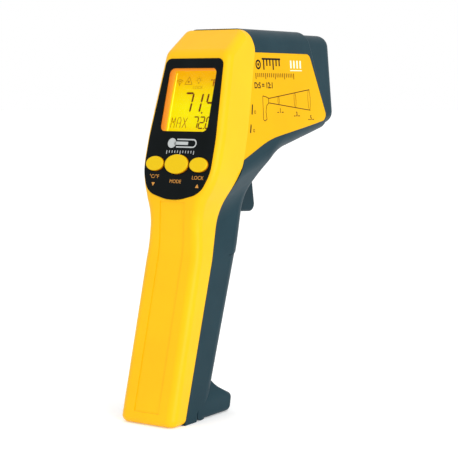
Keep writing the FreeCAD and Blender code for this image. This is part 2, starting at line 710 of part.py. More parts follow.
case_holes = both_sides("case_holes", size("case_screw_radius"), size("case_screw_long"),
                        screw_hole_start, screw_z, screw_x)
front_shell = cut("front_shell",
                  fuse("front_ribbed", front_hull, *pivot_lugs, switch_web, shell_knuckle, knuckle_web,
                       *case_lugs),
                  hinge_bore, pivot_bore, case_holes)

# --- battery door -----------------------------------------------------------------

DOOR_GAP = size("door_gap")
DOOR_FOOT = door_line(0, DOOR_GAP)
DOOR_FRONT_TOP = DOOR_TOP + 1.2
DOOR_SIDE = [
    (DOOR_FOOT, ZERO, size("hinge_round")),
    (grip_front(0), ZERO, ZERO),
    (grip_front(DOOR_FRONT_TOP), DOOR_FRONT_TOP - DOOR_GAP, ZERO),
    (door_line(DOOR_TOP, DOOR_GAP), DOOR_TOP - DOOR_GAP, ZERO),
]
HEEL_START = DOOR_FOOT + 4.0
HEEL_LEAN = 4.0
HEEL = [
    (HEEL_START, ZERO, ZERO),
    (size("heel_front_y"), ZERO, size("heel_round")),
    (size("heel_tip_y"), size("heel_tip_z"), size("heel_tip_round")),
    (size("heel_root_y"), size("heel_root_z"), size("heel_hollow")),
    (grip_front(size("heel_join_z")), size("heel_join_z"), ZERO),
    (HEEL_START + HEEL_LEAN, size("heel_join_z"), ZERO),
]


def door_front(edge, normals):
    """The two long edges down the front of the door."""
    return sum(is_side(n) for n in normals) == 1 and any(n.y > 0.8 for n in normals) \
        and edge.BoundBox.ZLength > 50


def heel_side(edge, normals):
    """Edges round the heel on both sides, except where it lies inside the door."""
    others = [n for n in normals if not is_side(n)]
    return len(others) == 1 and (others[0].y > 0.1 or others[0].z > 0.3 or others[0].z < -0.5) \
        and edge.BoundBox.YMax > 20


door_half = size("door_half")
door_block = rounded("door_block", side_prism("door_side", DOOR_SIDE, 0.0, door_half * 2), door_front,
                     size("door_edge"))
heel_soft = rounded("heel_soft", side_prism("heel_side_block", HEEL, 0.0, door_half * 2), heel_side,
                    size("heel_edge"))
heel_front_view = [
    (door_half, size("rear_foot_z"), ZERO),
    (door_half, size("heel_shoulder_z"), size("heel_hollow")),
    (size("heel_top_half"), size("heel_join_z"), ZERO),
]
heel_block = common("heel_block", heel_soft, width_prism("heel_width", mirrored(heel_front_view)))
door_wall = size("door_wall")
door_hollow_corners = inset_corners(DOOR_SIDE, door_wall)
BEHIND_DOOR = 12.0
HOLLOW_SILL = 1.5
HINGE_RAIL_LOW = 6.2
HINGE_RAIL_HIGH = 8.5
sill_y = door_hollow_corners[0][0] + HOLLOW_SILL
door_hollow_side = [
    (sill_y, door_hollow_corners[0][1], ZERO),
    door_hollow_corners[1],
    door_hollow_corners[2],
    (door_hollow_corners[3][0] - BEHIND_DOOR, door_hollow_corners[3][1], ZERO),
    (door_hollow_corners[0][0] - BEHIND_DOOR, HINGE_RAIL_HIGH, ZERO),
    (sill_y, HINGE_RAIL_LOW, ZERO),
]
door_hollow = rounded("door_hollow", side_prism("door_hollow_block", door_hollow_side, 0.0,
                                                (door_half - door_wall) * 2),
                      door_front, size("door_edge") - size("door_wall") * 2)
KNUCKLE_INSET = 0.5
door_knuckle = across("door_knuckle", size("knuckle_radius"), door_half - KNUCKLE_INSET, hinge_y, hinge_z)
KNUCKLE_GAP = 0.35
KNUCKLE_ROOM_DEEP = 8.0
KNUCKLE_ROOM_HIGH = 7.0
knuckle_room_half = knuckle_half + KNUCKLE_GAP
knuckle_room = block("knuckle_room", knuckle_room_half * 2, KNUCKLE_ROOM_DEEP, KNUCKLE_ROOM_HIGH,
                     -knuckle_room_half, hinge_y - 5.0, -1.0)
PIN_END_ROOM = 0.4
turning_bore = across("turning_bore", size("hinge_pin_radius") + size("hinge_fit"),
                      size("hinge_pin_half") + PIN_END_ROOM, hinge_y, hinge_z)
battery_door = cut("battery_door",
                   fuse("door_with_knuckles",
                        cut("door_open", fuse("door_with_heel", door_block, heel_block), door_hollow),
                        door_knuckle),
                   knuckle_room, turning_bore)
door_hinge_pin = across("door_hinge_pin", size("hinge_pin_radius"), size("hinge_pin_half"), hinge_y, hinge_z)

# --- rear shell: the key panel's seat, openings and bosses ---------------------------

key_row_z = size("key_row_z")
REAR_RUN = (size("brow_y") - size("shoulder_y")) / (size("brow_z") - size("shoulder_z"))
key_row_y = size("shoulder_y") + REAR_RUN * (key_row_z - size("shoulder_z"))
TILT = math.degrees(math.atan(float(REAR_RUN)))
PANEL_TURN = Rotation(Vector(1, 0, 0), 90 - TILT)
PANEL_FRAME = FreeCAD.Placement(Vector(0, float(key_row_y), float(key_row_z)), PANEL_TURN)


def on_panel(across_panel=0.0, up_panel=0.0, out=0.0):
    """Placement in the panel's frame: x across, y up the slope, z out of the rear plane."""
    offset = FreeCAD.Placement(Vector(float(across_panel), float(up_panel), float(out)), Rotation())
    return PANEL_FRAME.multiply(offset)


def new_body(name, placement=None):
    body = doc.addObject("PartDesign::Body", name)
    if placement is not None:
        body.Placement = placement
    return body


def body_sketch(body, role="XY_Plane", lift=0.0, suffix="_sketch"):
    """Empty sketch on one of the body's own planes."""
    sketch = body.newObject("Sketcher::SketchObject", body.Name + suffix)
    plane = next(f for f in body.Origin.OriginFeatures if f.Role == role)
    sketch.AttachmentSupport = [(plane, "")]
    sketch.MapMode = "FlatFace"
    sketch.AttachmentOffset = FreeCAD.Placement(Vector(0, 0, float(lift)), Rotation())
    if isinstance(lift, Size):
        sketch.setExpression("AttachmentOffset.Base.z", lift.text)
    return sketch


def pad(body, sketch, length, backwards=False, suffix="_pad"):
    feature = body.newObject("PartDesign::Pad", body.Name + suffix)
    feature.Profile = sketch
    bind(feature, "Length", length)
    feature.Reversed = backwards
    return feature


def rectangle(half_across, low, high, radius=ZERO):
    return [(half_across, low, radius), (half_across, high, radius),
            (-half_across, high, radius), (-half_across, low, radius)]


def draw_circle(sketch, radius, across_sketch=ZERO, up_sketch=ZERO):
    centre = Vector(float(across_sketch), float(up_sketch), 0)
    index = sketch.addGeometry(Part.Circle(centre, Vector(0, 0, 1), float(radius)))
    number = sketch.addConstraint(Sketcher.Constraint("Radius", index, float(radius)))
    if isinstance(radius, Size):
        sketch.setExpression("Constraints[%d]" % number, radius.text)
    fix_point(sketch, index, 3, across_sketch, up_sketch)


def draw_oval(sketch, half_across, half_up, across_sketch=ZERO):
    """Ellipse with its long axis across the sketch."""
    centre = Vector(float(across_sketch), 0, 0)
    index = sketch.addGeometry(Part.Ellipse(centre + Vector(float(half_across), 0, 0),
                                            centre + Vector(0, float(half_up), 0), centre))
    sketch.exposeInternalGeometry(index)
    long_axis, short_axis = index + 1, index + 2
    sketch.addConstraint(Sketcher.Constraint("Horizontal", long_axis))
    for axis, half in ((long_axis, half_across), (short_axis, half_up)):
        number = sketch.addConstraint(Sketcher.Constraint("Distance", axis, float(half) * 2))
        if isinstance(half, Size):
            sketch.setExpression("Constraints[%d]" % number, (half * 2).text)
    fix_point(sketch, index, 3, across_sketch, ZERO)


PANEL_OUTLINE_RIGHT = [
    (size("panel_knee_half"), size("panel_knee"), size("panel_knee_round")),
    (size("panel_half"), size("panel_hip"), size("panel_hip_round")),
    (size("panel_half"), size("panel_waist"), size("panel_waist_round")),
    (size("panel_top_half"), size("panel_top"), size("panel_top_round")),
]
PANEL_OUTLINE = PANEL_OUTLINE_RIGHT + [(-x, y, r) for x, y, r in reversed(PANEL_OUTLINE_RIGHT)] + [
    (ZERO, size("panel_toe"), size("panel_toe_round"))]
KEYS = {
    "button_units": (-size("key_pitch"), size("key_small_half"), size("key_small_rise")),
    "button_mode": (ZERO, size("key_large_half"), size("key_large_rise")),
    "button_lock": (size("key_pitch"), size("key_small_half"), size("key_small_rise")),
}
key_gap = size("key_gap")
panel_fit = size("panel_fit")
panel_proud = size("panel_proud")
panel_thick = size("panel_thick")

keypad_panel = new_body("keypad_panel", on_panel())
panel_sketch = body_sketch(keypad_panel, lift=panel_proud)
draw_outline(panel_sketch, inset_corners(PANEL_OUTLINE, panel_fit))
draw_outline(panel_sketch, rectangle(size("window_half"), size("window_low"), size("window_high"),
                                     size("window_round")))
for key_x, key_half, key_rise in KEYS.values():
    draw_oval(panel_sketch, key_half + key_gap, key_rise + key_gap, key_x)
pad(keypad_panel, panel_sketch, panel_thick, backwards=True)


def panel_tool(name, corners, depth_from, depth_to):
    """Solid for cutting: an outline on the panel plane, between two heights out from it."""
    body = new_body(name, on_panel())
    sketch = body_sketch(body, lift=depth_to)
    draw_outline(sketch, corners)
    pad(body, sketch, depth_to - depth_from, backwards=True)
    return body


OUTSIDE = size("tool_reach")
INSIDE = -OUTSIDE
panel_seat = panel_tool("panel_seat", PANEL_OUTLINE, panel_proud - panel_thick, OUTSIDE)
frame_half = size("window_half") + size("frame_wall")
frame_low = size("window_low") - size("frame_wall")
frame_high = size("window_high") + size("frame_wall")
FRAME_CLEAR = 0.05
display_hole = panel_tool("display_hole", rectangle(frame_half + FRAME_CLEAR, frame_low - FRAME_CLEAR,
                                                    frame_high + FRAME_CLEAR), INSIDE, OUTSIDE)
key_holes = new_body("key_holes", on_panel())
key_hole_sketch = body_sketch(key_holes, lift=OUTSIDE)
for key_x, key_half, key_rise in KEYS.values():
    draw_oval(key_hole_sketch, key_half + key_gap, key_rise + key_gap, key_x)
pad(key_holes, key_hole_sketch, OUTSIDE * 2, backwards=True)

BOSSES = [(-size("boss_pitch"), size("boss_high")), (size("boss_pitch"), size("boss_high")),
          (ZERO, size("boss_low"))]
board_depth = size("board_depth")


def pegs(name, radius, depth_from, depth_to, spots):
    """Separate round pegs, one primitive each, joined in one object."""
    parts = []
    for number, (x, y) in enumerate(spots):
        peg = doc.addObject("Part::Cylinder", "%s_%d" % (name, number))
        bind(peg, "Radius", radius)
        bind(peg, "Height", depth_to - depth_from)
        peg.Placement = on_panel(x, y, depth_from)
        parts.append(peg)
    return fuse(name, *parts)


BOSS_ROOT = 0.4
board_bosses = pegs("board_bosses", size("boss_radius"), -board_depth, -wall + BOSS_ROOT, BOSSES)
screw_long = size("screw_long")
board_thick = size("board_thick")
board_screw_holes = pegs("board_screw_holes", size("screw_radius"), -board_depth,
                         -board_depth + screw_long - board_thick, BOSSES)

# Shallow flat strip down the rear of the grip
STRIP_DEEP = 0.4
STRIP_HALF = 7.8
STRIP_LOW = 6.4
STRIP_HIGH = 112.0
STRIP_BACK = -30.0
STRIP_FRONT = 30.0
grip_strip = cut("grip_strip",
                 block("grip_strip_block", 2 * STRIP_HALF, STRIP_FRONT - STRIP_BACK, STRIP_HIGH - STRIP_LOW,
                       -STRIP_HALF, STRIP_BACK, STRIP_LOW),
                 side_prism("grip_strip_core", REAR_SIDE, STRIP_DEEP))

# Cradle ribs behind the battery, tilted with the grip
GRIP_SLOPE = 0.31
GRIP_TURN = Rotation(Vector(1, 0, 0), -math.degrees(math.atan(GRIP_SLOPE)))
CELL_FRAME = FreeCAD.Placement(Vector(0, DIMENSIONS["cell_y"], DIMENSIONS["cell_z"]), GRIP_TURN)


def in_grip(x, y, z):
    """Placement in the battery's frame: x across, y forwards, z up the grip."""
    return CELL_FRAME.multiply(FreeCAD.Placement(Vector(float(x), float(y), float(z)), Rotation()))


def grip_block(name, long_x, long_y, long_z, x, y, z):
    solid = doc.addObject("Part::Box", name)
    bind(solid, "Length", long_x)
    bind(solid, "Width", long_y)
    bind(solid, "Height", long_z)
    solid.Placement = in_grip(x, y, z)
    return solid


cell_back = -(size("cell_thick") / 2)
RIB_SPOTS = (-14.0, 14.0)
cradle_ribs = [grip_block("cradle_rib_%d" % i, size("rib_half") * 2, size("rib_deep"), size("rib_thick"),
                          -size("rib_half"), cell_back - size("rib_deep"), z)
               for i, z in enumerate(RIB_SPOTS)]
BOSS_BACK = -13.4
case_bosses = both_sides("case_bosses", size("case_boss_radius"), lug_y - BOSS_BACK, BOSS_BACK,
                         screw_z, screw_x)
rear_shell = cut("rear_shell", fuse("rear_ribbed", rear_open, board_bosses, *cradle_ribs, case_bosses),
                panel_seat, display_hole, key_holes, board_screw_holes, case_holes, grip_strip)

# --- panel side: window, frame, display, keys, board -------------------------------------

NODES = {}


def node(name, part):
    """File a finished piece under its own name."""
    part.Label = name
    NODES[name] = part
    return part


node("rear_shell", rear_shell)
node("front_shell", front_shell)
node("battery_door", battery_door)
node("door_hinge_pin", door_hinge_pin)
node("keypad_panel", keypad_panel)

GLUE_GAP = 0.05
WINDOW_FIT = 0.06


def flat_piece(name, corners, top, thick, holes=()):
    """Flat plate parallel to the rear plane, with its outer face at a height out from it."""
    body = new_body(name, on_panel())
    sketch = body_sketch(body, lift=top)
    draw_outline(sketch, corners)
    for hole in holes:
        draw_outline(sketch, hole)
    pad(body, sketch, thick, backwards=True)
    return node(name, body)


window_corners = rectangle(size("window_half"), size("window_low"), size("window_high"), size("window_round"))
flat_piece("lcd_window", inset_corners(window_corners, WINDOW_FIT), panel_proud - GLUE_GAP,
           size("window_thick"))

# Amber light guide: a square tube behind the window, with a lip inside the shell
frame_deep = size("frame_deep")
lip_wide = size("frame_lip_wide")
LIGHT_CORNER = 1.0
light_opening = rectangle(size("window_half"), size("window_low"), size("window_high"), LIGHT_CORNER)
lcd_frame = new_body("lcd_frame", on_panel())
tube_sketch = body_sketch(lcd_frame, lift=panel_proud - panel_thick)
draw_outline(tube_sketch, rectangle(frame_half, frame_low, frame_high))
draw_outline(tube_sketch, light_opening)
pad(lcd_frame, tube_sketch, frame_deep + panel_proud - panel_thick, backwards=True)
lip_sketch = body_sketch(lcd_frame, lift=-frame_deep, suffix="_lip_sketch")
draw_outline(lip_sketch, rectangle(frame_half + lip_wide, frame_low - lip_wide, frame_high + lip_wide))
draw_outline(lip_sketch, light_opening)
pad(lcd_frame, lip_sketch, size("frame_lip"), suffix="_lip")
node("lcd_frame", lcd_frame)

glass_top = -frame_deep - GLUE_GAP
glass_thick = size("glass_thick")
backlight_top = glass_top - glass_thick - GLUE_GAP
CONNECTOR_INSET = 1.5
flat_piece("lcd_glass", rectangle(size("glass_half"), size("glass_low"), size("glass_high")),
           glass_top, glass_thick)
flat_piece("backlight", rectangle(size("glass_half"), size("backlight_low"), size("glass_high")),
           backlight_top, size("backlight_thick"))
flat_piece("lcd_connector", rectangle(size("glass_half") - CONNECTOR_INSET, size("connector_low"),
                                      size("connector_high")),
           backlight_top, board_depth + backlight_top)

BOARD_RIGHT = [
    (size("board_toe_half"), size("board_toe"), ZERO),
    (size("board_half"), size("board_waist"), ZERO),
    (size("board_half"), size("board_top"), ZERO),
]
main_board = new_body("main_board", on_panel())
board_sketch = body_sketch(main_board, lift=-board_depth)
draw_outline(board_sketch, BOARD_RIGHT + [(-x, y, r) for x, y, r in reversed(BOARD_RIGHT)])
for boss_x, boss_y in BOSSES:
    draw_circle(board_sketch, size("screw_radius"), boss_x, boss_y)
pad(main_board, board_sketch, board_thick, backwards=True)
node("main_board", main_board)


def panel_block(name, wide, high, tall, x, y, top):
    """Box on the board: centred at x, y, from a height out from the rear plane downwards."""
    solid = doc.addObject("Part::Box", name)
    bind(solid, "Length", wide)
    bind(solid, "Width", high)
    bind(solid, "Height", tall)
    solid.Placement = on_panel(x - float(wide) / 2, y - float(high) / 2, float(top) - float(tall))
    return solid


board_front = -board_depth - board_thick
# name, across, up the slope, thickness, then the centre's place on the panel
CHIPS = [("processor", 12.0, 12.0, 1.6, 0.0, 34.0), ("amplifier", 6.0, 5.0, 1.5, -11.0, 22.0),
         ("memory", 5.0, 4.0, 1.2, 10.5, 18.0), ("crystal", 8.0, 3.4, 2.6, 9.0, 46.0),
         ("ribbon_socket", 13.0, 3.0, 2.2, 0.0, 12.5)]
board_chips = fuse("board_chips", *[panel_block(label, wide, high, tall, x, y, board_front)
                                    for label, wide, high, tall, x, y in CHIPS])
node("board_chips", board_chips)

switch_side = size("switch_side")
switch_tall = size("switch_tall")
switch_parts = []
for number, (key_x, _, _) in enumerate(KEYS.values()):
    switch_parts.append(panel_block("switch_body_%d" % number, switch_side, switch_side, switch_tall, key_x,
                                    0.0, -board_depth + switch_tall))
plungers = pegs("switch_plungers", size("plunger_radius"), -board_depth + switch_tall,
                -board_depth + switch_tall + size("plunger_tall"), [(x, ZERO) for x, _, _ in KEYS.values()])
node("tact_switches", fuse("tact_switches", *switch_parts, plungers))

screw_heads = pegs("board_screw_heads", size("screw_head_radius"), board_front - size("screw_head_tall"),
                   board_front, BOSSES)
screw_shanks = pegs("board_screw_shanks", size("screw_radius"), board_front, board_front + screw_long, BOSSES)
node("board_screws", fuse("board_screws", screw_heads, screw_shanks))


for key_name, (key_x, key_half, key_rise) in KEYS.items():
    key = new_body(key_name, on_panel(key_x, 0, 0))
    key_proud, flange_depth = size("key_proud"), size("key_flange_depth")
    flange_wide, flange_thick = size("key_flange"), size("key_flange_thick")
    cap_sketch = body_sketch(key, lift=key_proud)
    draw_oval(cap_sketch, key_half, key_rise)
    pad(key, cap_sketch, key_proud + flange_depth, backwards=True)
    flange_sketch = body_sketch(key, lift=-flange_depth, suffix="_flange_sketch")
    draw_oval(flange_sketch, key_half + size("key_flange_side"), key_rise + flange_wide)
    pad(key, flange_sketch, flange_thick, backwards=True, suffix="_flange")
    stem_sketch = body_sketch(key, lift=-flange_depth - flange_thick, suffix="_stem_sketch")
    draw_circle(stem_sketch, size("key_stem_radius"))
    stem = pad(key, stem_sketch, size("key_stem_end") - flange_depth - flange_thick, backwards=True,
               suffix="_stem")
    doc.recompute()
    rim = ["Edge%d" % number for number, edge in enumerate(stem.Shape.Edges, start=1)
           if edge.BoundBox.ZMin > float(key_proud) - 0.01]
    soft = key.newObject("PartDesign::Fillet", key_name + "_rim")
    soft.Base = (stem, rim)
    bind(soft, "Radius", size("key_edge"))
    node(key_name, key)

# --- side labels ---------------------------------------------------------------------------

label_skin = cut("label_skin", flank("label_face", size("label_sink")), recess_core)
label_pair = common("label_pair", common("label_skins", label_skin, label_tool),
                    side_prism("label_region", AHEAD_OF_PARTING))
right_side = block("right_side", FAR, FAR, FAR, ZERO, ZERO, ZERO)
node("side_label_right", common("side_label_right", label_pair, right_side))
node("side_label_left", cut("side_label_left", label_pair, right_side))

# --- trigger ---------------------------------------------------------------------------------

pivot_y, pivot_z = size("pivot_y"), size("pivot_z")
TRIGGER = [
    (pivot_y - 4.4, pivot_z + 4.2, 4.0),
    (pivot_y - 8.6, pivot_z - 19.0, 20.0),
    (pivot_y - 8.2, pivot_z - 31.2, 3.0),
    (pivot_y + 7.9, pivot_z - 32.2, 4.0),
    (pivot_y + 4.4, pivot_z - 12.0, 34.0),
    (pivot_y + 4.6, pivot_z + 4.2, 4.0),
]
TRIGGER_ROUNDED_BELOW = 132.0
trigger_blank = side_prism("trigger_blank", TRIGGER, 0.0, size("trigger_half") * 2)


def trigger_edge(edge, normals):
    """Edges round the trigger's front and foot, where a finger rests."""
    others = [n for n in normals if not is_side(n)]
    return len(others) == 1 and edge.BoundBox.XLength < 0.01 and edge.BoundBox.ZMax < TRIGGER_ROUNDED_BELOW


BORE_END = 1.0
trigger_bore = across("trigger_bore", size("trigger_pin_radius") + size("pin_fit"),
                      size("trigger_half") + BORE_END, pivot_y, pivot_z)
node("trigger", cut("trigger", rounded("trigger_soft", trigger_blank, trigger_edge, size("trigger_edge")),
                    trigger_bore))
node("trigger_pin", across("trigger_pin", size("trigger_pin_radius"), size("trigger_pin_half"), pivot_y,
                           pivot_z))

SWITCH_LOW = 112.0
SWITCH_HIGH = 121.5
SWITCH_DEEP = 5.8
SWITCH_HALF = 3.2
SWITCH_BUTTON_RADIUS = 0.9
SWITCH_BUTTON_LONG = 1.2
SWITCH_BUTTON_Z = 116.5
web_front = size("web_back_y") + size("web_thick")
trigger_switch = fuse("trigger_switch",
                      block("micro_switch", SWITCH_HALF * 2, SWITCH_DEEP, SWITCH_HIGH - SWITCH_LOW,
                            -SWITCH_HALF, web_front, SWITCH_LOW),
                      cylinder("micro_switch_button", SWITCH_BUTTON_RADIUS, SWITCH_BUTTON_LONG, ZERO,
                               web_front + SWITCH_DEEP, SWITCH_BUTTON_Z, TO_Y))
node("trigger_switch", trigger_switch)

SPRING_Z = 107.0
SPRING_RADIUS = 2.4
SPRING_WIRE = 0.4
SPRING_TURNS = 6
SPRING_FRONT = 53.0
spring_back = float(web_front) + SPRING_WIRE
spring_long = SPRING_FRONT - spring_back
helix = Part.makeHelix(spring_long / SPRING_TURNS, spring_long, SPRING_RADIUS)
start = helix.Edges[0].valueAt(helix.Edges[0].FirstParameter)
along = helix.Edges[0].tangentAt(helix.Edges[0].FirstParameter)
wire_section = Part.Wire(Part.makeCircle(SPRING_WIRE, start, along))
trigger_spring = doc.addObject("Part::Feature", "trigger_spring")
trigger_spring.Shape = Part.Wire(helix.Edges).makePipeShell([wire_section], True, True)
trigger_spring.Placement = FreeCAD.Placement(Vector(0, spring_back, SPRING_Z), TO_Y)
node("trigger_spring", trigger_spring)

# --- optics and laser in the barrel ---------------------------------------------------------

optic_z = size("optic_z")
laser_z = size("laser_z")
plate_y, plate_thick = size("plate_y"), size("plate_thick")
FORWARDS = Rotation(Vector(1, 0, 0), 90)


def upright_plate(name, corners, back_y, thick, circles=()):
    """Plate square to the barrel, from back_y forwards."""
    body = new_body(name, FreeCAD.Placement(Vector(0, float(back_y) + float(thick), 0), FORWARDS))
    sketch = body_sketch(body)
    draw_outline(sketch, corners)
    for radius, up in circles:
        draw_circle(sketch, radius, ZERO, up)
    pad(body, sketch, thick)
    return node(name, body)


upright_plate("muzzle_plate",
              rectangle(size("plate_half"), size("plate_low_z"), size("plate_high_z"), size("muzzle_round")),
              plate_y, plate_thick,
              [(size("tube_radius") + GLUE_GAP, optic_z), (size("laser_window_radius") + GLUE_GAP, laser_z)])
upright_plate("sensor_board",
              rectangle(size("sensor_board_half"), size("sensor_board_low_z"), size("sensor_board_high_z")),
              size("sensor_board_y"), board_thick)


def turned(name, profile, y, up):
    """Piece turned about the barrel's axis: profile points are (radius, distance forwards)."""
    body = new_body(name, FreeCAD.Placement(Vector(0, float(y), float(up)), TO_Y))
    sketch = body_sketch(body, "XZ_Plane")
    draw_outline(sketch, profile)
    feature = body.newObject("PartDesign::Revolution", name + "_turn")
    feature.Profile = sketch
    feature.ReferenceAxis = (sketch, ["V_Axis"])
    feature.Angle = 360
    return node(name, body)


tube_long = size("tube_end_y") - size("tube_start_y")
tube_bore = size("tube_bore")
lens_seat = size("lens_y") - size("tube_start_y")
can_flange = size("can_flange")
CAN_CLEAR = 0.6
SEAT_LEDGE = 1.2
FUNNEL_LIP = 2.0
turned("lens_barrel", [
    (can_flange + CAN_CLEAR, ZERO, ZERO),
    (size("tube_radius"), ZERO, ZERO),
    (size("tube_radius"), tube_long, ZERO),
    (tube_bore, tube_long, ZERO),
    (tube_bore, lens_seat, ZERO),
    (tube_bore - SEAT_LEDGE, lens_seat, ZERO),
    (can_flange + CAN_CLEAR, FUNNEL_LIP, ZERO),
], size("tube_start_y"), optic_z)
RING_EDGE = 0.6
RING_FLARE = 0.9
turned("lens_ring", [
    (size("ring_bore"), GLUE_GAP, ZERO),
    (size("ring_radius"), GLUE_GAP, ZERO),
    (size("ring_radius"), size("ring_thick"), RING_EDGE),
    (size("ring_bore") + RING_FLARE, size("ring_thick"), ZERO),
], size("tube_end_y"), optic_z)
CAN_BRIM = 0.5
CAN_EDGE = 0.3
turned("thermopile", [
    (ZERO, ZERO, ZERO),
    (can_flange, ZERO, ZERO),
    (can_flange, CAN_BRIM, ZERO),
    (size("can_radius"), CAN_BRIM, ZERO),
    (size("can_radius"), size("can_tall"), CAN_EDGE),
    (ZERO, size("can_tall"), ZERO),
], size("sensor_board_y") + board_thick, optic_z)

LENS_FIT = 0.04
lens_radius = float(tube_bore) - LENS_FIT
lens_bulge = DIMENSIONS["lens_bulge"]
lens_ball = (lens_radius ** 2 + lens_bulge ** 2) / (2 * lens_bulge)
lens_rim = size("lens_rim")
lens_disc = cylinder("lens_disc", tube_bore - LENS_FIT, lens_rim + size("lens_bulge"), ZERO, size("lens_y"),
                     optic_z, TO_Y)
lens_sphere = doc.addObject("Part::Sphere", "lens_sphere")
lens_sphere.Radius = lens_ball
place(lens_sphere, ZERO, float(size("lens_y") + lens_rim + size("lens_bulge")) - lens_ball, float(optic_z))
node("ir_lens", common("ir_lens", lens_disc, lens_sphere))

laser_start = size("laser_start_y")
node("laser_module", cylinder("laser_module", size("laser_radius"), size("laser_long"), ZERO, laser_start,
                              laser_z, TO_Y))
holder_half = size("holder_half")
holder_block = block("holder_block", holder_half * 2, size("holder_long"),
                     size("holder_high_z") - size("holder_low_z"), -holder_half, size("holder_start_y"),
                     size("holder_low_z"))
holder_bore = cylinder("holder_bore", size("laser_radius"), size("holder_long") + 2.0, ZERO,
                       size("holder_start_y") - 1.0, laser_z, TO_Y)
node("laser_holder", cut("laser_holder", holder_block, holder_bore))
LASER_WINDOW_SINK = 0.3
node("laser_window", cylinder("laser_window", size("laser_window_radius"),
                              plate_thick - LASER_WINDOW_SINK * 2, ZERO, plate_y + LASER_WINDOW_SINK,
                              laser_z, TO_Y))

# Flat ribbon from the sensor board back to the socket on the main board
RIBBON_HALF = 5.5
RIBBON_THICK = 0.35
RIBBON = [(30.2, 138.6), (45.0, 146.0), (66.0, 158.0), (DIMENSIONS["sensor_board_y"] - GLUE_GAP, 160.0)]
ribbon_corners = [(y, z, ZERO) for y, z in RIBBON]
ribbon_corners += [(y, z + RIBBON_THICK, ZERO) for y, z in reversed(RIBBON)]
node("sensor_ribbon", side_prism("sensor_ribbon", ribbon_corners, 0.0, 2 * RIBBON_HALF))

# --- battery and its connections ---------------------------------------------------------------

cell_wide, cell_thick, cell_long = size("cell_wide"), size("cell_thick"), size("cell_long")
cell_box = grip_block("cell_box", cell_wide, cell_thick, cell_long, -cell_wide / 2, cell_back, -cell_long / 2)


def long_edge(edge, normals):
    """Edges along the battery."""
    return edge.BoundBox.XLength < 0.01 and edge.BoundBox.ZLength > 30


def grip_peg(name, radius, length, x, y, z):
    solid = doc.addObject("Part::Cylinder", name)
    bind(solid, "Radius", radius)
    bind(solid, "Height", length)
    solid.Placement = in_grip(x, y, z)
    return solid


post_pitch = size("post_pitch")
post_tall = size("post_tall")
posts = [grip_peg("battery_post_%d" % i, size("post_radius"), post_tall, x, 0.0, cell_long / 2)
         for i, x in enumerate((-post_pitch, post_pitch))]
node("battery_9v", fuse("battery_9v", rounded("cell_case", cell_box, long_edge, size("cell_edge")), *posts))
snap_base = cell_long / 2 + post_tall + GLUE_GAP
node("battery_snap", grip_block("battery_snap", size("snap_wide"), size("snap_deep"), size("snap_thick"),
                                -size("snap_wide") / 2, -size("snap_deep") / 2, snap_base))

DOOR_TILT = math.degrees(math.atan(float(GRIP_RUN)))
PAD_Z = 38.0
battery_pad = doc.addObject("Part::Box", "battery_pad")
bind(battery_pad, "Length", size("pad_wide"))
bind(battery_pad, "Width", size("pad_thick"))
bind(battery_pad, "Height", size("pad_long"))
DOOR_FRAME = FreeCAD.Placement(Vector(0, float(grip_front(PAD_Z)), PAD_Z),
                               Rotation(Vector(1, 0, 0), -DOOR_TILT))
pad_back = -float(door_wall) - DIMENSIONS["pad_thick"]
battery_pad.Placement = DOOR_FRAME.multiply(
    FreeCAD.Placement(Vector(-DIMENSIONS["pad_wide"] / 2, pad_back, -DIMENSIONS["pad_long"] / 2), Rotation()))
node("battery_pad", battery_pad)


def bent_lead(name, points, radius, bend):
    """Round wire along straight runs joined by tangent arcs."""
    path = [Vector(*point) for point in points]
    edges = []
    last = path[0]
    for before, here, after in zip(path, path[1:], path[2:]):
        back = (before - here).normalize()
        ahead = (after - here).normalize()
        half_angle = back.getAngle(ahead) / 2
        reach = min(bend / math.tan(half_angle), 0.45 * min((before - here).Length, (after - here).Length))
        centre = here + (back + ahead).normalize() * (reach / math.cos(half_angle))
        swing = reach * math.tan(half_angle)
        entry, leave = here + back * reach, here + ahead * reach
        middle = centre + (here - centre).normalize() * swing
        edges.append(Part.LineSegment(last, entry).toShape())
        edges.append(Part.Arc(entry, middle, leave).toShape())
        last = leave
    edges.append(Part.LineSegment(last, path[-1]).toShape())
    section = Part.Wire(Part.makeCircle(radius, path[0], path[1] - path[0]))
    lead = doc.addObject("Part::Feature", name)
    lead.Shape = Part.Wire(edges).makePipeShell([section], True, True)
    return node(name, lead)


SOLDER_GAP = 0.02
LEAD_BEND = 6.0
snap_top = float(snap_base) + DIMENSIONS["snap_thick"] + SOLDER_GAP
LEAD_ROUTE = [(28.6, 88.0), (30.6, 103.0), (29.0, 115.5)]
lead_end = on_panel(0, size("boss_low"), float(board_front) - SOLDER_GAP).Base
for lead_name, side in (("battery_lead_red", 1.0), ("battery_lead_black", -1.0)):
    lead_x = side * DIMENSIONS["lead_spread"]
    first = in_grip(lead_x, 0, snap_top).Base
    points = [tuple(first)] + [(lead_x, y, z) for y, z in LEAD_ROUTE] + [(lead_x, lead_end.y, lead_end.z)]
    bent_lead(lead_name, points, DIMENSIONS["lead_radius"], LEAD_BEND)

# --- case screws --------------------------------------------------------------------------------

node("case_screws", fuse(
    "case_screws",
    both_sides("case_screw_shanks", size("case_screw_radius"), size("case_screw_long"), screw_hole_start,
               screw_z, screw_x),
    both_sides("case_screw_heads", size("case_head_radius"), size("case_head_tall"),
               lug_y + size("lug_thick"), screw_z, screw_x)))

# --- check and write ------------------------------------------------------------------------------

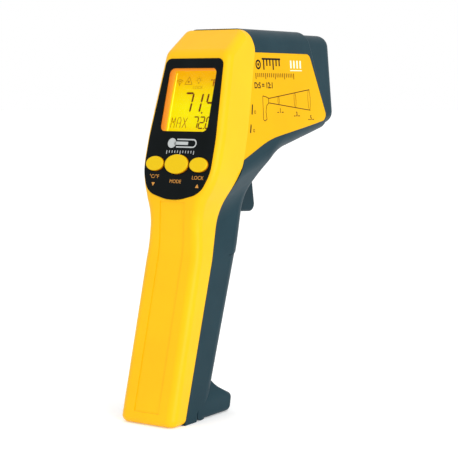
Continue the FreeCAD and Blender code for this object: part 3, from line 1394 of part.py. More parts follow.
doc.recompute()
for item in doc.Objects:
    faults = [state for state in item.State if state in ("Invalid", "Error")]
    if faults:
        raise RuntimeError("%s failed to recompute: %s" % (item.Name, faults))
os.makedirs("parts", exist_ok=True)
for name, part in NODES.items():
    shape = part.Shape
    if shape.isNull() or not shape.isValid() or not shape.Solids:
        raise RuntimeError("%s has no valid solid" % name)
    shape.exportStep(os.path.join("parts", name + ".step"))
    print("%-20s %2d solid(s) %10.1f mm3" % (name, len(shape.Solids), shape.Volume))
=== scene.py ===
import math

import bpy
import bmesh
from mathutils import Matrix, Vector
from mathutils.bvhtree import BVHTree


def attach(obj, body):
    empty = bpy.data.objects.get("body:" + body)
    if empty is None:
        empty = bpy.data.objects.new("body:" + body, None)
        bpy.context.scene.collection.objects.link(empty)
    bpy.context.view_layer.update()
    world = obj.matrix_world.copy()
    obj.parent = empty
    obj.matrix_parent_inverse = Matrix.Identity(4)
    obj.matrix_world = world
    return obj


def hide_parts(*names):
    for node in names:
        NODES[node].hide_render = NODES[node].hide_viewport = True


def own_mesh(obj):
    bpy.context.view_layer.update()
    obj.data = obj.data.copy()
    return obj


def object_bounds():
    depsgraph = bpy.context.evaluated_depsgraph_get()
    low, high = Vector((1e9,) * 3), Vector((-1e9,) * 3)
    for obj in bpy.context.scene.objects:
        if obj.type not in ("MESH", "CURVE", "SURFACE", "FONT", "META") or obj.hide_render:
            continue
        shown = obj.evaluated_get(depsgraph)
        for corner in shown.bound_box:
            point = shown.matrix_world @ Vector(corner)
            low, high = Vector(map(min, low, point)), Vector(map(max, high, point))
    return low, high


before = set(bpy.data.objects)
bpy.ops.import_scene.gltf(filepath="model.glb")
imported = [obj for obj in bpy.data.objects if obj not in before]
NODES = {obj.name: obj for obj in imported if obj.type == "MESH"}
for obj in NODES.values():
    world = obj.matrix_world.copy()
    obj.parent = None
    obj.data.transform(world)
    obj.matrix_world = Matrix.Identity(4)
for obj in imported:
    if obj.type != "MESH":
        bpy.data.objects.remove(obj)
cad_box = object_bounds()
MM = 0.001

# ---------------------------------------------------------------------------
# The sloping rear plane carries the display and the keys. Its frame is the one
# the CAD uses: across, up the slope, and out from the plane.
# ---------------------------------------------------------------------------
PANEL_ORIGIN = Vector((0.0, 12.30, 130.7)) * MM
PANEL_UP = Vector((0.0, 0.2806, 0.9598)).normalized()
PANEL_OUT = Vector((0.0, -0.9598, 0.2806)).normalized()
PANEL_ACROSS = Vector((1.0, 0.0, 0.0))


# --- materials ----------------------------------------------------------------

def linear(r, g, b):
    """Colour given as 0-255 display values, turned to linear light by the sRGB curve."""
    values = []
    for value in (r, g, b):
        c = value / 255.0
        values.append(c / 12.92 if c <= 0.04045 else ((c + 0.055) / 1.055) ** 2.4)
    return (*values, 1.0)


def dimmed(colour, share):
    """The same colour with only a share of its light."""
    return (*(c * share for c in colour[:3]), 1.0)


class Finish:
    """A node material on a Principled shader, with small helpers for its textures."""

    SOCKETS = {
        "rough": "Roughness", "metal": "Metallic", "coat": "Coat Weight", "coat_rough": "Coat Roughness",
        "spec": "Specular IOR Level", "alpha": "Alpha", "glow": "Emission Strength",
    }

    def __init__(self, name):
        self.material = bpy.data.materials.new(name)
        self.material.use_nodes = True
        self.tree = self.material.node_tree
        self.shader = self.tree.nodes["Principled BSDF"]
        self.coords = self.tree.nodes.new("ShaderNodeTexCoord").outputs["Object"]

    def node(self, kind, **settings):
        node = self.tree.nodes.new(kind)
        for key, value in settings.items():
            setattr(node, key, value)
        return node

    def link(self, source, target):
        self.tree.links.new(source, target)

    def set(self, **sockets):
        for key, value in sockets.items():
            self.shader.inputs[self.SOCKETS[key]].default_value = value
        return self

    def noise(self, scale, detail=2.0, rough=0.5, stretch=None):
        coords = self.coords
        if stretch:
            mapping = self.node("ShaderNodeMapping")
            mapping.inputs["Scale"].default_value = stretch
            self.link(coords, mapping.inputs["Vector"])
            coords = mapping.outputs["Vector"]
        noise = self.node("ShaderNodeTexNoise")
        noise.inputs["Scale"].default_value = scale
        noise.inputs["Detail"].default_value = detail
        noise.inputs["Roughness"].default_value = rough
        self.link(coords, noise.inputs["Vector"])
        return noise.outputs["Fac"]

    def ramp(self, source, stops, socket="Base Color"):
        ramp = self.node("ShaderNodeValToRGB")
        elements = ramp.color_ramp.elements
        while len(elements) < len(stops):
            elements.new(0.5)
        for element, (position, colour) in zip(elements, stops):
            element.position = position
            element.color = colour
        self.link(source, ramp.inputs["Fac"])
        self.link(ramp.outputs["Color"], self.shader.inputs[socket])

    def vary_roughness(self, source, low, high):
        spread = self.node("ShaderNodeMapRange")
        spread.inputs["To Min"].default_value = low
        spread.inputs["To Max"].default_value = high
        self.link(source, spread.inputs["Value"])
        self.link(spread.outputs["Result"], self.shader.inputs["Roughness"])

    def bump(self, source, strength, distance):
        bump = self.node("ShaderNodeBump")
        bump.inputs["Strength"].default_value = strength
        bump.inputs["Distance"].default_value = distance
        self.link(source, bump.inputs["Height"])
        self.link(bump.outputs["Normal"], self.shader.inputs["Normal"])

    def along(self, origin, direction, length):
        """0 to 1 along a direction, from an origin, over a length."""
        shift = self.node("ShaderNodeVectorMath", operation="SUBTRACT")
        shift.inputs[1].default_value = origin
        self.link(self.coords, shift.inputs[0])
        dot = self.node("ShaderNodeVectorMath", operation="DOT_PRODUCT")
        dot.inputs[1].default_value = Vector(direction) / length
        self.link(shift.outputs["Vector"], dot.inputs[0])
        return dot.outputs["Value"]


TONE_SCALE = 38.0           # texture scale of a plastic's slow drift in tone
SHEEN_SCALE = 140.0         # and of the drift in its gloss
GRAIN_STRENGTH = 0.22
TOOL_MARKS = (1.0, 60.0, 1.0)


def moulded(name, dark, light, rough, grain=2600.0, depth=0.00005, spec=0.4):
    """Injection-moulded plastic: fine spark-eroded grain over a slow drift in tone."""
    finish = Finish(name).set(spec=spec)
    finish.ramp(finish.noise(TONE_SCALE, 3.0), [(0.3, dark), (0.7, light)])
    finish.vary_roughness(finish.noise(SHEEN_SCALE, 3.0), rough - 0.04, rough + 0.05)
    finish.bump(finish.noise(grain, 3.0, 0.6), GRAIN_STRENGTH, depth)
    return finish


def turned_metal(name, dark, light, rough):
    """Metal with fine tool marks round its axis."""
    finish = Finish(name).set(metal=1.0)
    marks = finish.noise(400.0, 4.0, 0.6, TOOL_MARKS)
    finish.ramp(marks, [(0.35, dark), (0.7, light)])
    finish.vary_roughness(finish.noise(900.0, 2.0), rough - 0.05, rough + 0.08)
    finish.bump(marks, 0.15, 0.00003)
    return finish


yellow_shell = moulded("yellow_shell", linear(234, 177, 1), linear(239, 183, 2), 0.40, 2200.0, 0.00004, 0.18)
slate_shell = moulded("slate_shell", linear(12, 44, 54), linear(18, 50, 60), 0.44, 1900.0, 0.00006, 0.14)
slate_trigger = moulded("slate_trigger", linear(8, 38, 47), linear(13, 44, 54), 0.42, 2300.0, 0.00005, 0.12)
black_insert = moulded("black_insert", linear(12, 13, 15), linear(20, 21, 23), 0.6, 1800.0, 0.00006, 0.15)
switch_black = moulded("switch_black", linear(18, 18, 20), linear(27, 27, 29), 0.5)
chip_black = moulded("chip_black", linear(20, 20, 22), linear(30, 30, 31), 0.62, 3000.0)
ribbon_white = moulded("ribbon_white", linear(214, 214, 206), linear(226, 226, 220), 0.4)
snap_black = moulded("snap_black", linear(16, 16, 16), linear(24, 24, 24), 0.45)
lead_red = moulded("lead_red", linear(170, 22, 16), linear(188, 30, 22), 0.38)
lead_black = moulded("lead_black", linear(15, 15, 15), linear(24, 24, 24), 0.38)
foam = moulded("foam_pad", linear(40, 40, 42), linear(62, 62, 64), 0.9, 900.0, 0.0004, 0.2)
zebra = Finish("zebra_strip").set(rough=0.6)
zebra.ramp(zebra.noise(60.0, 0.0, 0.5, (80.0, 1.0, 1.0)),
           [(0.42, linear(40, 40, 40)), (0.58, linear(175, 175, 165))])

label_film = Finish("label_film").set(spec=0.06)
label_film.ramp(label_film.noise(30.0, 2.0), [(0.3, linear(218, 163, 0)), (0.7, linear(223, 169, 0))])
label_film.vary_roughness(label_film.noise(220.0, 3.0), 0.30, 0.40)
label_film.bump(label_film.noise(1500.0, 2.0), 0.08, 0.00002)

overlay = Finish("panel_overlay").set(spec=0.08)
overlay.ramp(overlay.noise(90.0, 3.0), [(0.3, linear(3, 8, 9)), (0.7, linear(8, 14, 16))])
overlay.vary_roughness(overlay.noise(600.0, 3.0), 0.30, 0.42)
overlay.bump(overlay.noise(3200.0, 3.0, 0.6), 0.2, 0.00003)

clear_window = Finish("clear_window").set(rough=0.04, alpha=0.04, spec=0.25)
clear_window.ramp(clear_window.noise(50.0), [(0.4, linear(60, 56, 40)), (0.6, linear(52, 50, 38))])

# The display is lit from behind: the wall of the light guide glows amber, the glass goes from
# orange-yellow under its top edge to bright yellow.
WINDOW_LOW = PANEL_ORIGIN + PANEL_UP * 17.5 * MM
WINDOW_TALL = 34.0 * MM
GUIDE_DEEP = 5.2 * MM
AMBER_UNLIT = 0.22          # share of the glowing colour left in the base colour
GLASS_UNLIT = 0.2
amber = Finish("amber_light_guide").set(rough=0.4, spec=0.1, glow=0.8)
depth = amber.along(PANEL_ORIGIN - PANEL_OUT * GUIDE_DEEP, PANEL_OUT, GUIDE_DEEP)
amber_stops = [(0.0, linear(252, 172, 50)), (0.45, linear(246, 150, 44)), (1.0, linear(232, 122, 36))]
amber.ramp(depth, [(p, dimmed(c, AMBER_UNLIT)) for p, c in amber_stops])
amber.ramp(depth, amber_stops, "Emission Color")
amber.bump(amber.noise(1500.0, 2.0), 0.1, 0.00003)

glass_yellow = Finish("display_glass").set(rough=0.3, spec=0.05, glow=0.82)
height = glass_yellow.along(WINDOW_LOW, PANEL_UP, WINDOW_TALL)
wobble = glass_yellow.noise(45.0, 1.0)
uneven = glass_yellow.node("ShaderNodeMath", operation="MULTIPLY_ADD")
glass_yellow.link(wobble, uneven.inputs[0])
uneven.inputs[1].default_value = 0.16
glass_yellow.link(height, uneven.inputs[2])
glass_stops = [(0.02, linear(254, 208, 2)), (0.22, linear(255, 236, 4)), (0.52, linear(255, 238, 2)),
               (0.80, linear(255, 214, 2)), (1.0, linear(252, 186, 6))]
glass_yellow.ramp(uneven.outputs[0], [(p, dimmed(c, GLASS_UNLIT)) for p, c in glass_stops])
glass_yellow.ramp(uneven.outputs[0], glass_stops, "Emission Color")

backlight = Finish("backlight").set(rough=0.5, glow=0.5)
backlight.ramp(backlight.noise(40.0), [(0.3, linear(250, 190, 60)), (0.7, linear(255, 205, 80))])
backlight.shader.inputs["Emission Color"].default_value = linear(250, 190, 60)

KEY_PROUD = 1.9 * MM
# The key's colour darkens from its top face down to its foot at the panel: painted shade on its sides.
rubber_key_with_painted_shade = Finish("key_rubber_painted_shade").set(spec=0.15)
rubber_key_with_painted_shade.ramp(rubber_key_with_painted_shade.along(PANEL_ORIGIN, PANEL_OUT, KEY_PROUD),
                [(0.0, linear(120, 54, 2)), (0.45, linear(200, 122, 2)), (0.80, linear(220, 178, 2)),
                 (1.0, linear(218, 181, 3))])
rubber_key_with_painted_shade.vary_roughness(rubber_key_with_painted_shade.noise(300.0, 3.0), 0.46, 0.58)
rubber_key_with_painted_shade.bump(rubber_key_with_painted_shade.noise(2800.0, 3.0, 0.6), 0.25, 0.00004)

solder_mask = Finish("solder_mask").set(spec=0.5, coat=0.3)
solder_mask.ramp(solder_mask.noise(420.0, 1.0, 0.3, (1.0, 1.0, 0.15)),
                 [(0.48, linear(16, 66, 38)), (0.52, linear(28, 92, 52))])
solder_mask.vary_roughness(solder_mask.noise(200.0), 0.28, 0.38)

steel = turned_metal("ground_steel", linear(150, 150, 152), linear(188, 188, 190), 0.3)
spring_steel = turned_metal("spring_steel", linear(120, 122, 126), linear(160, 162, 166), 0.35)
switch_metal = turned_metal("switch_cover", linear(150, 150, 148), linear(176, 176, 172), 0.35)
can_metal = turned_metal("sensor_can", linear(176, 170, 156), linear(204, 198, 184), 0.25)
brass = turned_metal("laser_brass", linear(170, 132, 62), linear(204, 164, 84), 0.28)
anodised = turned_metal("anodised_tube", linear(26, 27, 29), linear(44, 45, 48), 0.4)
ring_black = turned_metal("ring_black", linear(24, 25, 27), linear(40, 41, 44), 0.35)
ring_black.set(metal=0.0, spec=0.5)

lens_glass = Finish("germanium_lens").set(metal=0.35, coat=0.6, coat_rough=0.05)
lens_glass.ramp(lens_glass.noise(120.0), [(0.3, linear(54, 58, 74)), (0.7, linear(66, 70, 88))])
lens_glass.vary_roughness(lens_glass.noise(400.0), 0.08, 0.14)
laser_glass = Finish("laser_window").set(coat=0.5, coat_rough=0.05)
laser_glass.ramp(laser_glass.noise(200.0), [(0.3, linear(70, 8, 8)), (0.7, linear(96, 12, 12))])
laser_glass.vary_roughness(laser_glass.noise(400.0), 0.08, 0.14)

sleeve = Finish("battery_sleeve").set(metal=0.3, coat=0.3)
CELL_UP = Vector((0.0, 0.2961, 0.9552))
CELL_CENTRE = Vector((0.0, 13.5, 41.5)) * MM
CELL_TALL = 46.0 * MM
sleeve.ramp(sleeve.along(CELL_CENTRE - CELL_UP * (CELL_TALL / 2), CELL_UP, CELL_TALL),
            [(0.0, linear(34, 36, 42)), (0.695, linear(36, 38, 44)), (0.70, linear(186, 118, 58)),
             (0.995, linear(196, 128, 66)), (1.0, linear(178, 178, 180))])
sleeve.vary_roughness(sleeve.noise(200.0), 0.24, 0.34)

FINISHES = {
    "rear_shell": yellow_shell, "front_shell": slate_shell, "battery_door": slate_shell,
    "door_hinge_pin": steel,
    "keypad_panel": overlay, "lcd_window": clear_window, "lcd_frame": amber, "lcd_glass": glass_yellow,
    "backlight": backlight, "lcd_connector": zebra, "main_board": solder_mask, "board_chips": chip_black,
    "tact_switches": switch_metal, "board_screws": steel,
    "button_units": rubber_key_with_painted_shade, "button_mode": rubber_key_with_painted_shade, "button_lock": rubber_key_with_painted_shade,
    "side_label_right": label_film, "side_label_left": label_film,
    "trigger": slate_trigger, "trigger_pin": steel, "trigger_switch": switch_black,
    "trigger_spring": spring_steel, "muzzle_plate": black_insert, "sensor_board": solder_mask,
    "lens_barrel": anodised, "lens_ring": ring_black, "thermopile": can_metal, "ir_lens": lens_glass,
    "laser_module": brass, "laser_holder": black_insert, "laser_window": laser_glass,
    "sensor_ribbon": ribbon_white, "battery_9v": sleeve, "battery_snap": snap_black, "battery_pad": foam,
    "battery_lead_red": lead_red, "battery_lead_black": lead_black, "case_screws": steel,
}
for name, obj in NODES.items():
    obj.data.materials.clear()
    obj.data.materials.append(FINISHES[name].material)

# The return spring stands on the web behind the trigger; the real one closes up as the trigger comes back,
# here it is a fixed copy on the root body.
bpy.context.view_layer.update()
coil = bpy.data.objects.new("return_coil", NODES["trigger_spring"].data.copy())
bpy.context.collection.objects.link(coil)
coil.matrix_world = NODES["trigger_spring"].matrix_world.copy()
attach(coil, "root")
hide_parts("trigger_spring")
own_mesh(coil)


INK_MOTTLE = 500.0


def ink(name, colour, rough=0.5, glow=0.0):
    """Printed ink: one tone with a slight mottle."""
    finish = Finish(name).set(spec=0.1)
    lighter = tuple(min(1.0, c * 1.12) for c in colour[:3]) + (1.0,)
    finish.ramp(finish.noise(INK_MOTTLE, 2.0), [(0.35, colour), (0.7, lighter)])
    finish.vary_roughness(finish.noise(900.0), rough - 0.04, rough + 0.04)
    if glow:
        finish.shader.inputs["Emission Color"].default_value = colour
        finish.set(glow=glow)
    return finish


segment_dark = ink("segment_dark", linear(104, 34, 6), 0.6, 0.1)
segment_faint = ink("segment_faint", linear(176, 116, 2), 0.6, 0.3)
segment_icon = ink("segment_icon", linear(150, 76, 6), 0.6, 0.3)
edge_glow = ink("edge_glow", linear(255, 232, 70), 0.5, 0.9)
legend_tan = ink("legend_tan", linear(196, 136, 62), 0.5)
mark_grey = ink("mark_grey", linear(172, 176, 176), 0.4)
mark_dark = ink("mark_dark", linear(18, 14, 10), 0.6)
mark_brown = ink("mark_brown", linear(66, 36, 2), 0.6)
mark_white = ink("mark_white", linear(232, 226, 196), 0.5)


# --- printed artwork -----------------------------------------------------------

INK_THICK = 0.03
CAPITAL_SHARE = 0.69        # a capital's height over the font's size
SEGMENT_GAP = 0.12          # gap at each end of a display segment, over its width
DIGIT_LEAN = 0.09


class Artwork:
    """Flat marks drawn in millimetres on a surface, made as thin closed plates.

    place(across, up, out) gives the point in metres of a mark's point."""

    def __init__(self, name, place, finish, slot, flip=False):
        self.name, self.place, self.finish, self.slot = name, place, finish, slot
        self.flip = flip
        self.bm = bmesh.new()

    def polygon(self, points):
        area = sum(a[0] * b[1] - b[0] * a[1] for a, b in zip(points, points[1:] + points[:1]))
        if (area < 0) != self.flip:
            points = points[::-1]
        top = [self.bm.verts.new(self.place(x, y, INK_THICK)) for x, y in points]
        low = [self.bm.verts.new(self.place(x, y, 0.0)) for x, y in points]
        self.bm.faces.new(top)
        self.bm.faces.new(low[::-1])
        for i in range(len(points)):
            j = (i + 1) % len(points)
            self.bm.faces.new((low[i], low[j], top[j], top[i]))

    def line(self, a, b, width, step=2.5):
        """Straight stroke, divided so that it follows a curved surface."""
        start, end = Vector(a), Vector(b)
        run = end - start
        side = Vector((-run.y, run.x)).normalized() * (width / 2)
        count = max(1, math.ceil(run.length / step))
        for i in range(count):
            p, q = start + run * (i / count), start + run * ((i + 1) / count)
            self.polygon([tuple(p - side), tuple(q - side), tuple(q + side), tuple(p + side)])

    def path(self, points, width, closed=False):
        pairs = zip(points, points[1:] + points[:1]) if closed else zip(points, points[1:])
        for a, b in pairs:
            self.line(a, b, width)

    def ring(self, centre, half_across, half_up, width, start=0.0, end=360.0, count=24):
        angles = [math.radians(start + (end - start) * i / count) for i in range(count + 1)]
        outer = [(centre[0] + (half_across + width / 2) * math.cos(t),
                  centre[1] + (half_up + width / 2) * math.sin(t)) for t in angles]
        inner = [(centre[0] + (half_across - width / 2) * math.cos(t),
                  centre[1] + (half_up - width / 2) * math.sin(t)) for t in angles]
        for i in range(count):
            self.polygon([outer[i], outer[i + 1], inner[i + 1], inner[i]])

    def disc(self, centre, radius, count=24):
        self.polygon([(centre[0] + radius * math.cos(2 * math.pi * i / count),
                       centre[1] + radius * math.sin(2 * math.pi * i / count)) for i in range(count)])

    def words(self, text, centre, tall, reverse=False, weight=0.0):
        """Plain lettering, its capitals tall millimetres high, its strokes thickened by a weight."""
        curve = bpy.data.curves.new(self.name + "_letters", "FONT")
        curve.body = text
        curve.align_x = "CENTER"
        curve.align_y = "CENTER"
        curve.size = tall / CAPITAL_SHARE
        curve.extrude = INK_THICK / 2
        curve.offset = weight
        holder = bpy.data.objects.new(self.name + "_letters", curve)
        bpy.context.collection.objects.link(holder)
        bpy.context.view_layer.update()
        mesh = bpy.data.meshes.new_from_object(holder)
        bpy.data.objects.remove(holder)
        way = -1.0 if reverse else 1.0
        verts = [self.bm.verts.new(self.place(centre[0] + way * v.co.x, centre[1] + v.co.y,
                                              v.co.z + INK_THICK / 2)) for v in mesh.vertices]
        for face in mesh.polygons:
            corners = [verts[i] for i in face.vertices]
            if self.flip != reverse:
                corners = corners[::-1]
            self.bm.faces.new(corners)
        bpy.data.meshes.remove(mesh)

    def segment(self, x0, y0, x1, y1, width, base):
        """One pointed display segment between two points of an upright digit."""
        start, end = Vector((x0, y0)), Vector((x1, y1))
        along = (end - start).normalized()
        gap = along * width * SEGMENT_GAP
        start, end = start + gap, end - gap
        side = Vector((-along.y, along.x)) * (width / 2)
        tip = along * (width / 2)
        shape = [start, start + tip - side, end - tip - side, end, end - tip + side, start + tip + side]
        self.polygon([(base[0] + p.x + DIGIT_LEAN * p.y, base[1] + p.y) for p in shape])

    def digit(self, figure, base, wide, tall, width):
        half = tall / 2
        spots = {
            "a": (0, tall, wide, tall), "b": (wide, tall, wide, half), "c": (wide, half, wide, 0),
            "d": (0, 0, wide, 0), "e": (0, half, 0, 0), "f": (0, tall, 0, half),
            "g": (0, half, wide, half),
        }
        lit = {"0": "abcdef", "1": "bc", "2": "abged", "4": "fgbc", "7": "abc"}[figure]
        for key in lit:
            self.segment(*spots[key], width, base)

    def finish_piece(self, body="root"):
        bmesh.ops.recalc_face_normals(self.bm, faces=self.bm.faces)
        mesh = bpy.data.meshes.new(self.name)
        self.bm.to_mesh(mesh)
        self.bm.free()
        mesh.materials.append(self.finish.material)
        piece = bpy.data.objects.new(self.name, mesh)
        bpy.context.collection.objects.link(piece)
        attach(piece, body)
        return piece


def on_panel(lift):
    """Point finder for marks on a plane parallel to the rear panel."""
    def place(across, up, out):
        return PANEL_ORIGIN + (PANEL_ACROSS * across + PANEL_UP * up + PANEL_OUT * (lift + out)) * MM
    return place


# --- display -------------------------------------------------------------------

GLASS_FACE = -5.25
PANEL_FACE = 0.4
glass_place = on_panel(GLASS_FACE + 0.01)

reading = Artwork("display_reading", glass_place, segment_dark, "lcd_glass")
# a digit's width, height and stroke
LARGE, LARGE_FOOT = (5.0, 10.2, 1.05), 29.2
reading.digit("7", (-6.9, LARGE_FOOT), *LARGE)
reading.digit("1", (-0.9, LARGE_FOOT), *LARGE)
reading.disc((5.8, 29.0), 0.5, 12)
reading.digit("4", (7.6, LARGE_FOOT), *LARGE)
SMALL, SMALL_FOOT = (2.9, 6.0, 0.68), 20.7
reading.digit("7", (1.1, SMALL_FOOT), *SMALL)
reading.digit("2", (5.0, SMALL_FOOT), *SMALL)
reading.disc((8.7, 20.6), 0.36, 10)
reading.digit("0", (9.4, SMALL_FOOT), *SMALL)
reading.finish_piece()

memory = Artwork("display_memory_word", glass_place, segment_icon, "lcd_glass")
WORD_LOW, WORD_HIGH, WORD_LINE, WORD_GAP = 20.8, 26.2, 0.38, 0.12
rise = WORD_HIGH - WORD_LOW
# MAX in strokes, each broken in its middle
for left, strokes in (
        (-12.6, [(0, 0, 0.3, 1), (0.3, 1, 1.3, 0.45), (1.3, 0.45, 2.5, 1), (2.5, 1, 2.2, 0)]),
        (-8.9, [(0, 0, 0.2, 0.75), (0.2, 0.75, 0.8, 1), (0.8, 1, 2.0, 1),
                (2.0, 1, 2.5, 0.75), (2.5, 0.75, 2.3, 0), (0.1, 0.45, 2.4, 0.45)]),
        (-5.2, [(0, 0, 2.7, 1), (0.2, 1, 2.5, 0)])):
    for x0, y0, x1, y1 in strokes:
        a = Vector((left + x0, WORD_LOW + y0 * rise))
        b = Vector((left + x1, WORD_LOW + y1 * rise))
        halfway = (b - a) / 2
        gap = halfway.normalized() * WORD_GAP
        memory.line(a, a + halfway - gap, WORD_LINE)
        memory.line(a + halfway + gap, b, WORD_LINE)
memory.finish_piece()


def spoke(degrees):
    """A direction on the display, as a unit vector."""
    return Vector((math.cos(math.radians(degrees)), math.sin(math.radians(degrees))))


WAVES_AT, STAR_AT, LAMP_AT = (-11.3, 43.9), Vector((-5.6, 45.6)), Vector((0.8, 46.4))
icons = Artwork("display_icons", glass_place, segment_icon, "lcd_glass")
for radius in (1.0, 1.9, 2.8):
    icons.ring(WAVES_AT, radius, radius, 0.32, 42.0, 138.0, 10)
icons.disc(WAVES_AT, 0.42, 10)
icons.path([(-7.9, 44.2), (-3.3, 44.2), (-5.6, 48.3)], 0.28, True)
for turn in range(0, 180, 45):
    reach = spoke(turn) * 0.75
    icons.line(STAR_AT - reach, STAR_AT + reach, 0.2)
icons.ring(LAMP_AT, 0.95, 0.95, 0.24, -50.0, 230.0, 14)
icons.line((0.35, 45.2), (1.25, 45.2), 0.3)
icons.line((0.45, 44.7), (1.15, 44.7), 0.26)
for turn in (0, 45, 90, 135, 180):
    icons.line(LAMP_AT + spoke(turn) * 1.5, LAMP_AT + spoke(turn) * 2.1, 0.2)
icons.ring((8.9, 46.6), 0.42, 0.42, 0.28, 0.0, 360.0, 12)
icons.words("F", (10.8, 44.8), 3.6, weight=0.1)
icons.finish_piece()
faint = Artwork("display_lock_word", glass_place, segment_faint, "lcd_glass")
faint.words("LOCK", (0.8, 42.4), 1.6)
faint.finish_piece()

glow = Artwork("display_edge_glow", glass_place, edge_glow, "lcd_glass")
glow.line((-13.9, 18.6), (-13.9, 50.2), 0.34)
glow.finish_piece()

# --- key panel: legends and a plain pictogram --------------------------------------

face_place = on_panel(PANEL_FACE)
legends = Artwork("key_legends", face_place, legend_tan, "panel_black")
legends.words("°C/°F", (-13.4, -6.8), 1.9)
legends.words("MODE", (0.5, -9.0), 1.8)
legends.words("LOCK", (14.1, -6.7), 1.9)
legends.polygon([(-14.4, -9.9), (-12.3, -9.9), (-13.35, -11.8)])
legends.polygon([(13.4, -11.8), (15.6, -11.8), (14.5, -9.8)])
legends.finish_piece()

# thermometer lying on its side, over a row of scale ticks
pictogram = Artwork("panel_pictogram", face_place, mark_grey, "panel_black")
pictogram.disc((-5.6, 11.2), 2.6, 32)
pictogram.line((-4.0, 11.2), (4.6, 11.2), 1.7)
pictogram.path([(-2.6, 13.2), (7.6, 13.2)], 0.7)
pictogram.path([(-2.6, 9.2), (7.6, 9.2)], 0.7)
pictogram.ring((7.6, 11.2), 2.0, 2.0, 0.7, -90.0, 90.0, 14)
for i in range(11):
    x = -8.0 + 1.7 * i
    pictogram.line((x, 7.3), (x, 6.0 if i % 5 else 5.4), 0.4)
pictogram.finish_piece()

# --- side labels ---------------------------------------------------------------------

CAST_FROM = 0.06            # metres from the middle plane, outside the housing
OFF_LABEL = 0.0235          # where a mark stands if it misses the label
LABEL_LIFT = 0.02           # millimetres between the film and the ink
CONE_FROM, CONE_TO = 63.4, 106.2


def on_label(node_name, side):
    """Point finder for marks on a side label: across is the row's Y and up its Z."""
    mesh = NODES[node_name].data
    tree = BVHTree.FromPolygons([v.co.copy() for v in mesh.vertices],
                                [tuple(p.vertices) for p in mesh.polygons])

    def place(across, up, out):
        start = Vector((side * CAST_FROM, across * MM, up * MM))
        hit = tree.ray_cast(start, Vector((-side, 0.0, 0.0)))[0]
        surface = abs(hit.x) if hit else OFF_LABEL
        return Vector((side * (surface + (LABEL_LIFT + out) * MM), across * MM, up * MM))
    return place


for node_name, side in (("side_label_right", 1.0), ("side_label_left", -1.0)):
    where = on_label(node_name, side)
    tail = "_right" if side > 0 else "_left"
    mirrored = side < 0

    bold = Artwork("label_bold_marks" + tail, where, mark_dark, "label_yellow", flip=mirrored)
    # a spot target and a scale, in bold strokes
    bold.ring((55.2, 182.1), 2.1, 2.1, 1.0, 0.0, 360.0, 24)
    bold.disc((55.2, 182.1), 0.8, 12)
    for i in range(6):
        x = 60.6 + 3.1 * i
        bold.line((x, 184.9), (x, 179.4 if i % 3 == 0 else 181.4), 1.15, 1.4)
    bold.line((58.9, 185.1), (77.3, 185.1), 1.0)
    bold.words("D:S = 12:1", (59.6, 171.0), 3.0, mirrored, 0.11)
    bold.line((47.5, 161.2), (46.5, 156.0), 1.0, 1.5)
    bold.line((45.1, 150.8), (44.1, 146.4), 1.0, 1.5)
    bold.finish_piece()

    fine = Artwork("label_fine_marks" + tail, where, mark_brown, "label_yellow", flip=mirrored)
    for i in range(21):
        x = 52.4 + 1.9 * i
        fine.line((x, 177.6), (x, 175.4 if i % 5 else 174.4), 0.62)
    fine.ring((49.6, 157.2), 0.75, 0.75, 0.3, 0.0, 360.0, 12)
    fine.ring((47.6, 147.6), 0.75, 0.75, 0.3, 0.0, 360.0, 12)
    # the instrument's outline, and the cone it measures in
    fine.path([(57.9, 165.6), (60.6, 165.2), (63.4, 164.4), (63.4, 161.8), (61.4, 160.6), (60.2, 157.4),
               (60.8, 153.2), (58.6, 152.4), (57.4, 153.2), (57.6, 160.0)], 0.42, True)
    fine.line((CONE_FROM, 164.2), (CONE_TO, 168.8), 0.44)
    fine.line((CONE_FROM, 161.9), (CONE_TO, 157.4), 0.44)
    for reach in (73.4, 90.4, 105.4):
        grow = (reach - CONE_FROM) / (CONE_TO - CONE_FROM)
        middle = 163.05 + grow * 0.1
        tall = 1.15 + grow * 4.55
        fine.ring((reach, middle), 0.5 + 0.75 * grow, tall, 0.3, 0.0, 360.0, 22)
    for text, spot in (("1", (74.6, 157.6)), ("3", (91.4, 155.4)), ("5", (106.4, 153.2))):
        fine.words(text, spot, 2.4, mirrored, 0.08)
        fine.line((spot[0] - 3.0, spot[1] - 0.9), (spot[0] - 1.5, spot[1] - 0.9), 0.5)
        fine.line((spot[0] + 1.4, spot[1] - 0.9), (spot[0] + 3.2, spot[1] - 0.9), 0.5)
    fine.finish_piece()

    # plain white badge: four bars over a line
    badge = Artwork("label_white_badge" + tail, where, mark_white, "label_yellow", flip=mirrored)
    for i in range(4):
        x = 88.0 + 3.3 * i
        badge.line((x, 184.6), (x, 180.4), 1.5, 1.4)
    badge.line((87.0, 179.2), (99.4, 179.2), 0.5)
    badge.finish_piece()

# --- stage, light and camera -------------------------------------------------------------

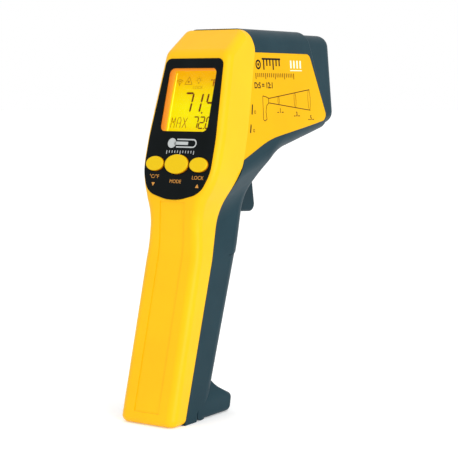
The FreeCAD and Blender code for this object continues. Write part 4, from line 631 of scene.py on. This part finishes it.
FLOOR_RADIUS, FLOOR_CORNERS, FLOOR_GAP = 9.0, 96, 0.0002
floor_mesh = bpy.data.meshes.new("floor")
bm = bmesh.new()
turns = [2 * math.pi * i / FLOOR_CORNERS for i in range(FLOOR_CORNERS)]
rim = [bm.verts.new((FLOOR_RADIUS * math.cos(t), FLOOR_RADIUS * math.sin(t), 0.0)) for t in turns]
bm.faces.new(rim)
bm.to_mesh(floor_mesh)
bm.free()
floor = bpy.data.objects.new("floor", floor_mesh)
floor.location.z = cad_box[0][2] - FLOOR_GAP
bpy.context.collection.objects.link(floor)
paper = Finish("floor_paper").set(rough=0.85, spec=0.1, glow=0.22)
paper.shader.inputs["Emission Color"].default_value = (1.0, 1.0, 1.0, 1.0)
paper.ramp(paper.noise(3.0, 2.0), [(0.3, (0.90, 0.90, 0.90, 1.0)), (0.7, (0.92, 0.92, 0.92, 1.0))])
floor_mesh.materials.append(paper.material)

world = bpy.data.worlds.new("studio")
world.use_nodes = True
world.node_tree.nodes["Background"].inputs["Color"].default_value = (1.0, 1.0, 1.0, 1.0)
world.node_tree.nodes["Background"].inputs["Strength"].default_value = 1.0
bpy.context.scene.world = world


def softbox(name, position, aim, size, power):
    light = bpy.data.lights.new(name, "AREA")
    light.shape = "RECTANGLE"
    light.size, light.size_y = size
    light.energy = power
    lamp = bpy.data.objects.new(name, light)
    lamp.location = position
    lamp.rotation_euler = (Vector(aim) - Vector(position)).to_track_quat("-Z", "Y").to_euler()
    bpy.context.collection.objects.link(lamp)


CENTRE = (0.0, 0.05, 0.11)
softbox("key_light", (1.05, -0.40, 0.40), CENTRE, (0.45, 0.8), 6.0)
softbox("top_light", (0.1, 0.1, 1.2), CENTRE, (0.9, 0.9), 1.0)

CAMERA_AT = Vector((0.4230, -0.5678, 0.1704))
CAMERA_AIM = Vector((-0.5563, 0.8248, -0.1011))
lens = bpy.data.cameras.new("camera")
lens.lens = 110.0
lens.sensor_width = 36.0
lens.clip_start = 0.01
lens.clip_end = 50.0
camera = bpy.data.objects.new("camera", lens)
camera.location = CAMERA_AT
camera.rotation_euler = CAMERA_AIM.to_track_quat("-Z", "Y").to_euler()
bpy.context.collection.objects.link(camera)
bpy.context.scene.camera = camera
bpy.context.scene.view_settings.view_transform = "Standard"
bpy.context.scene.view_settings.look = "None"
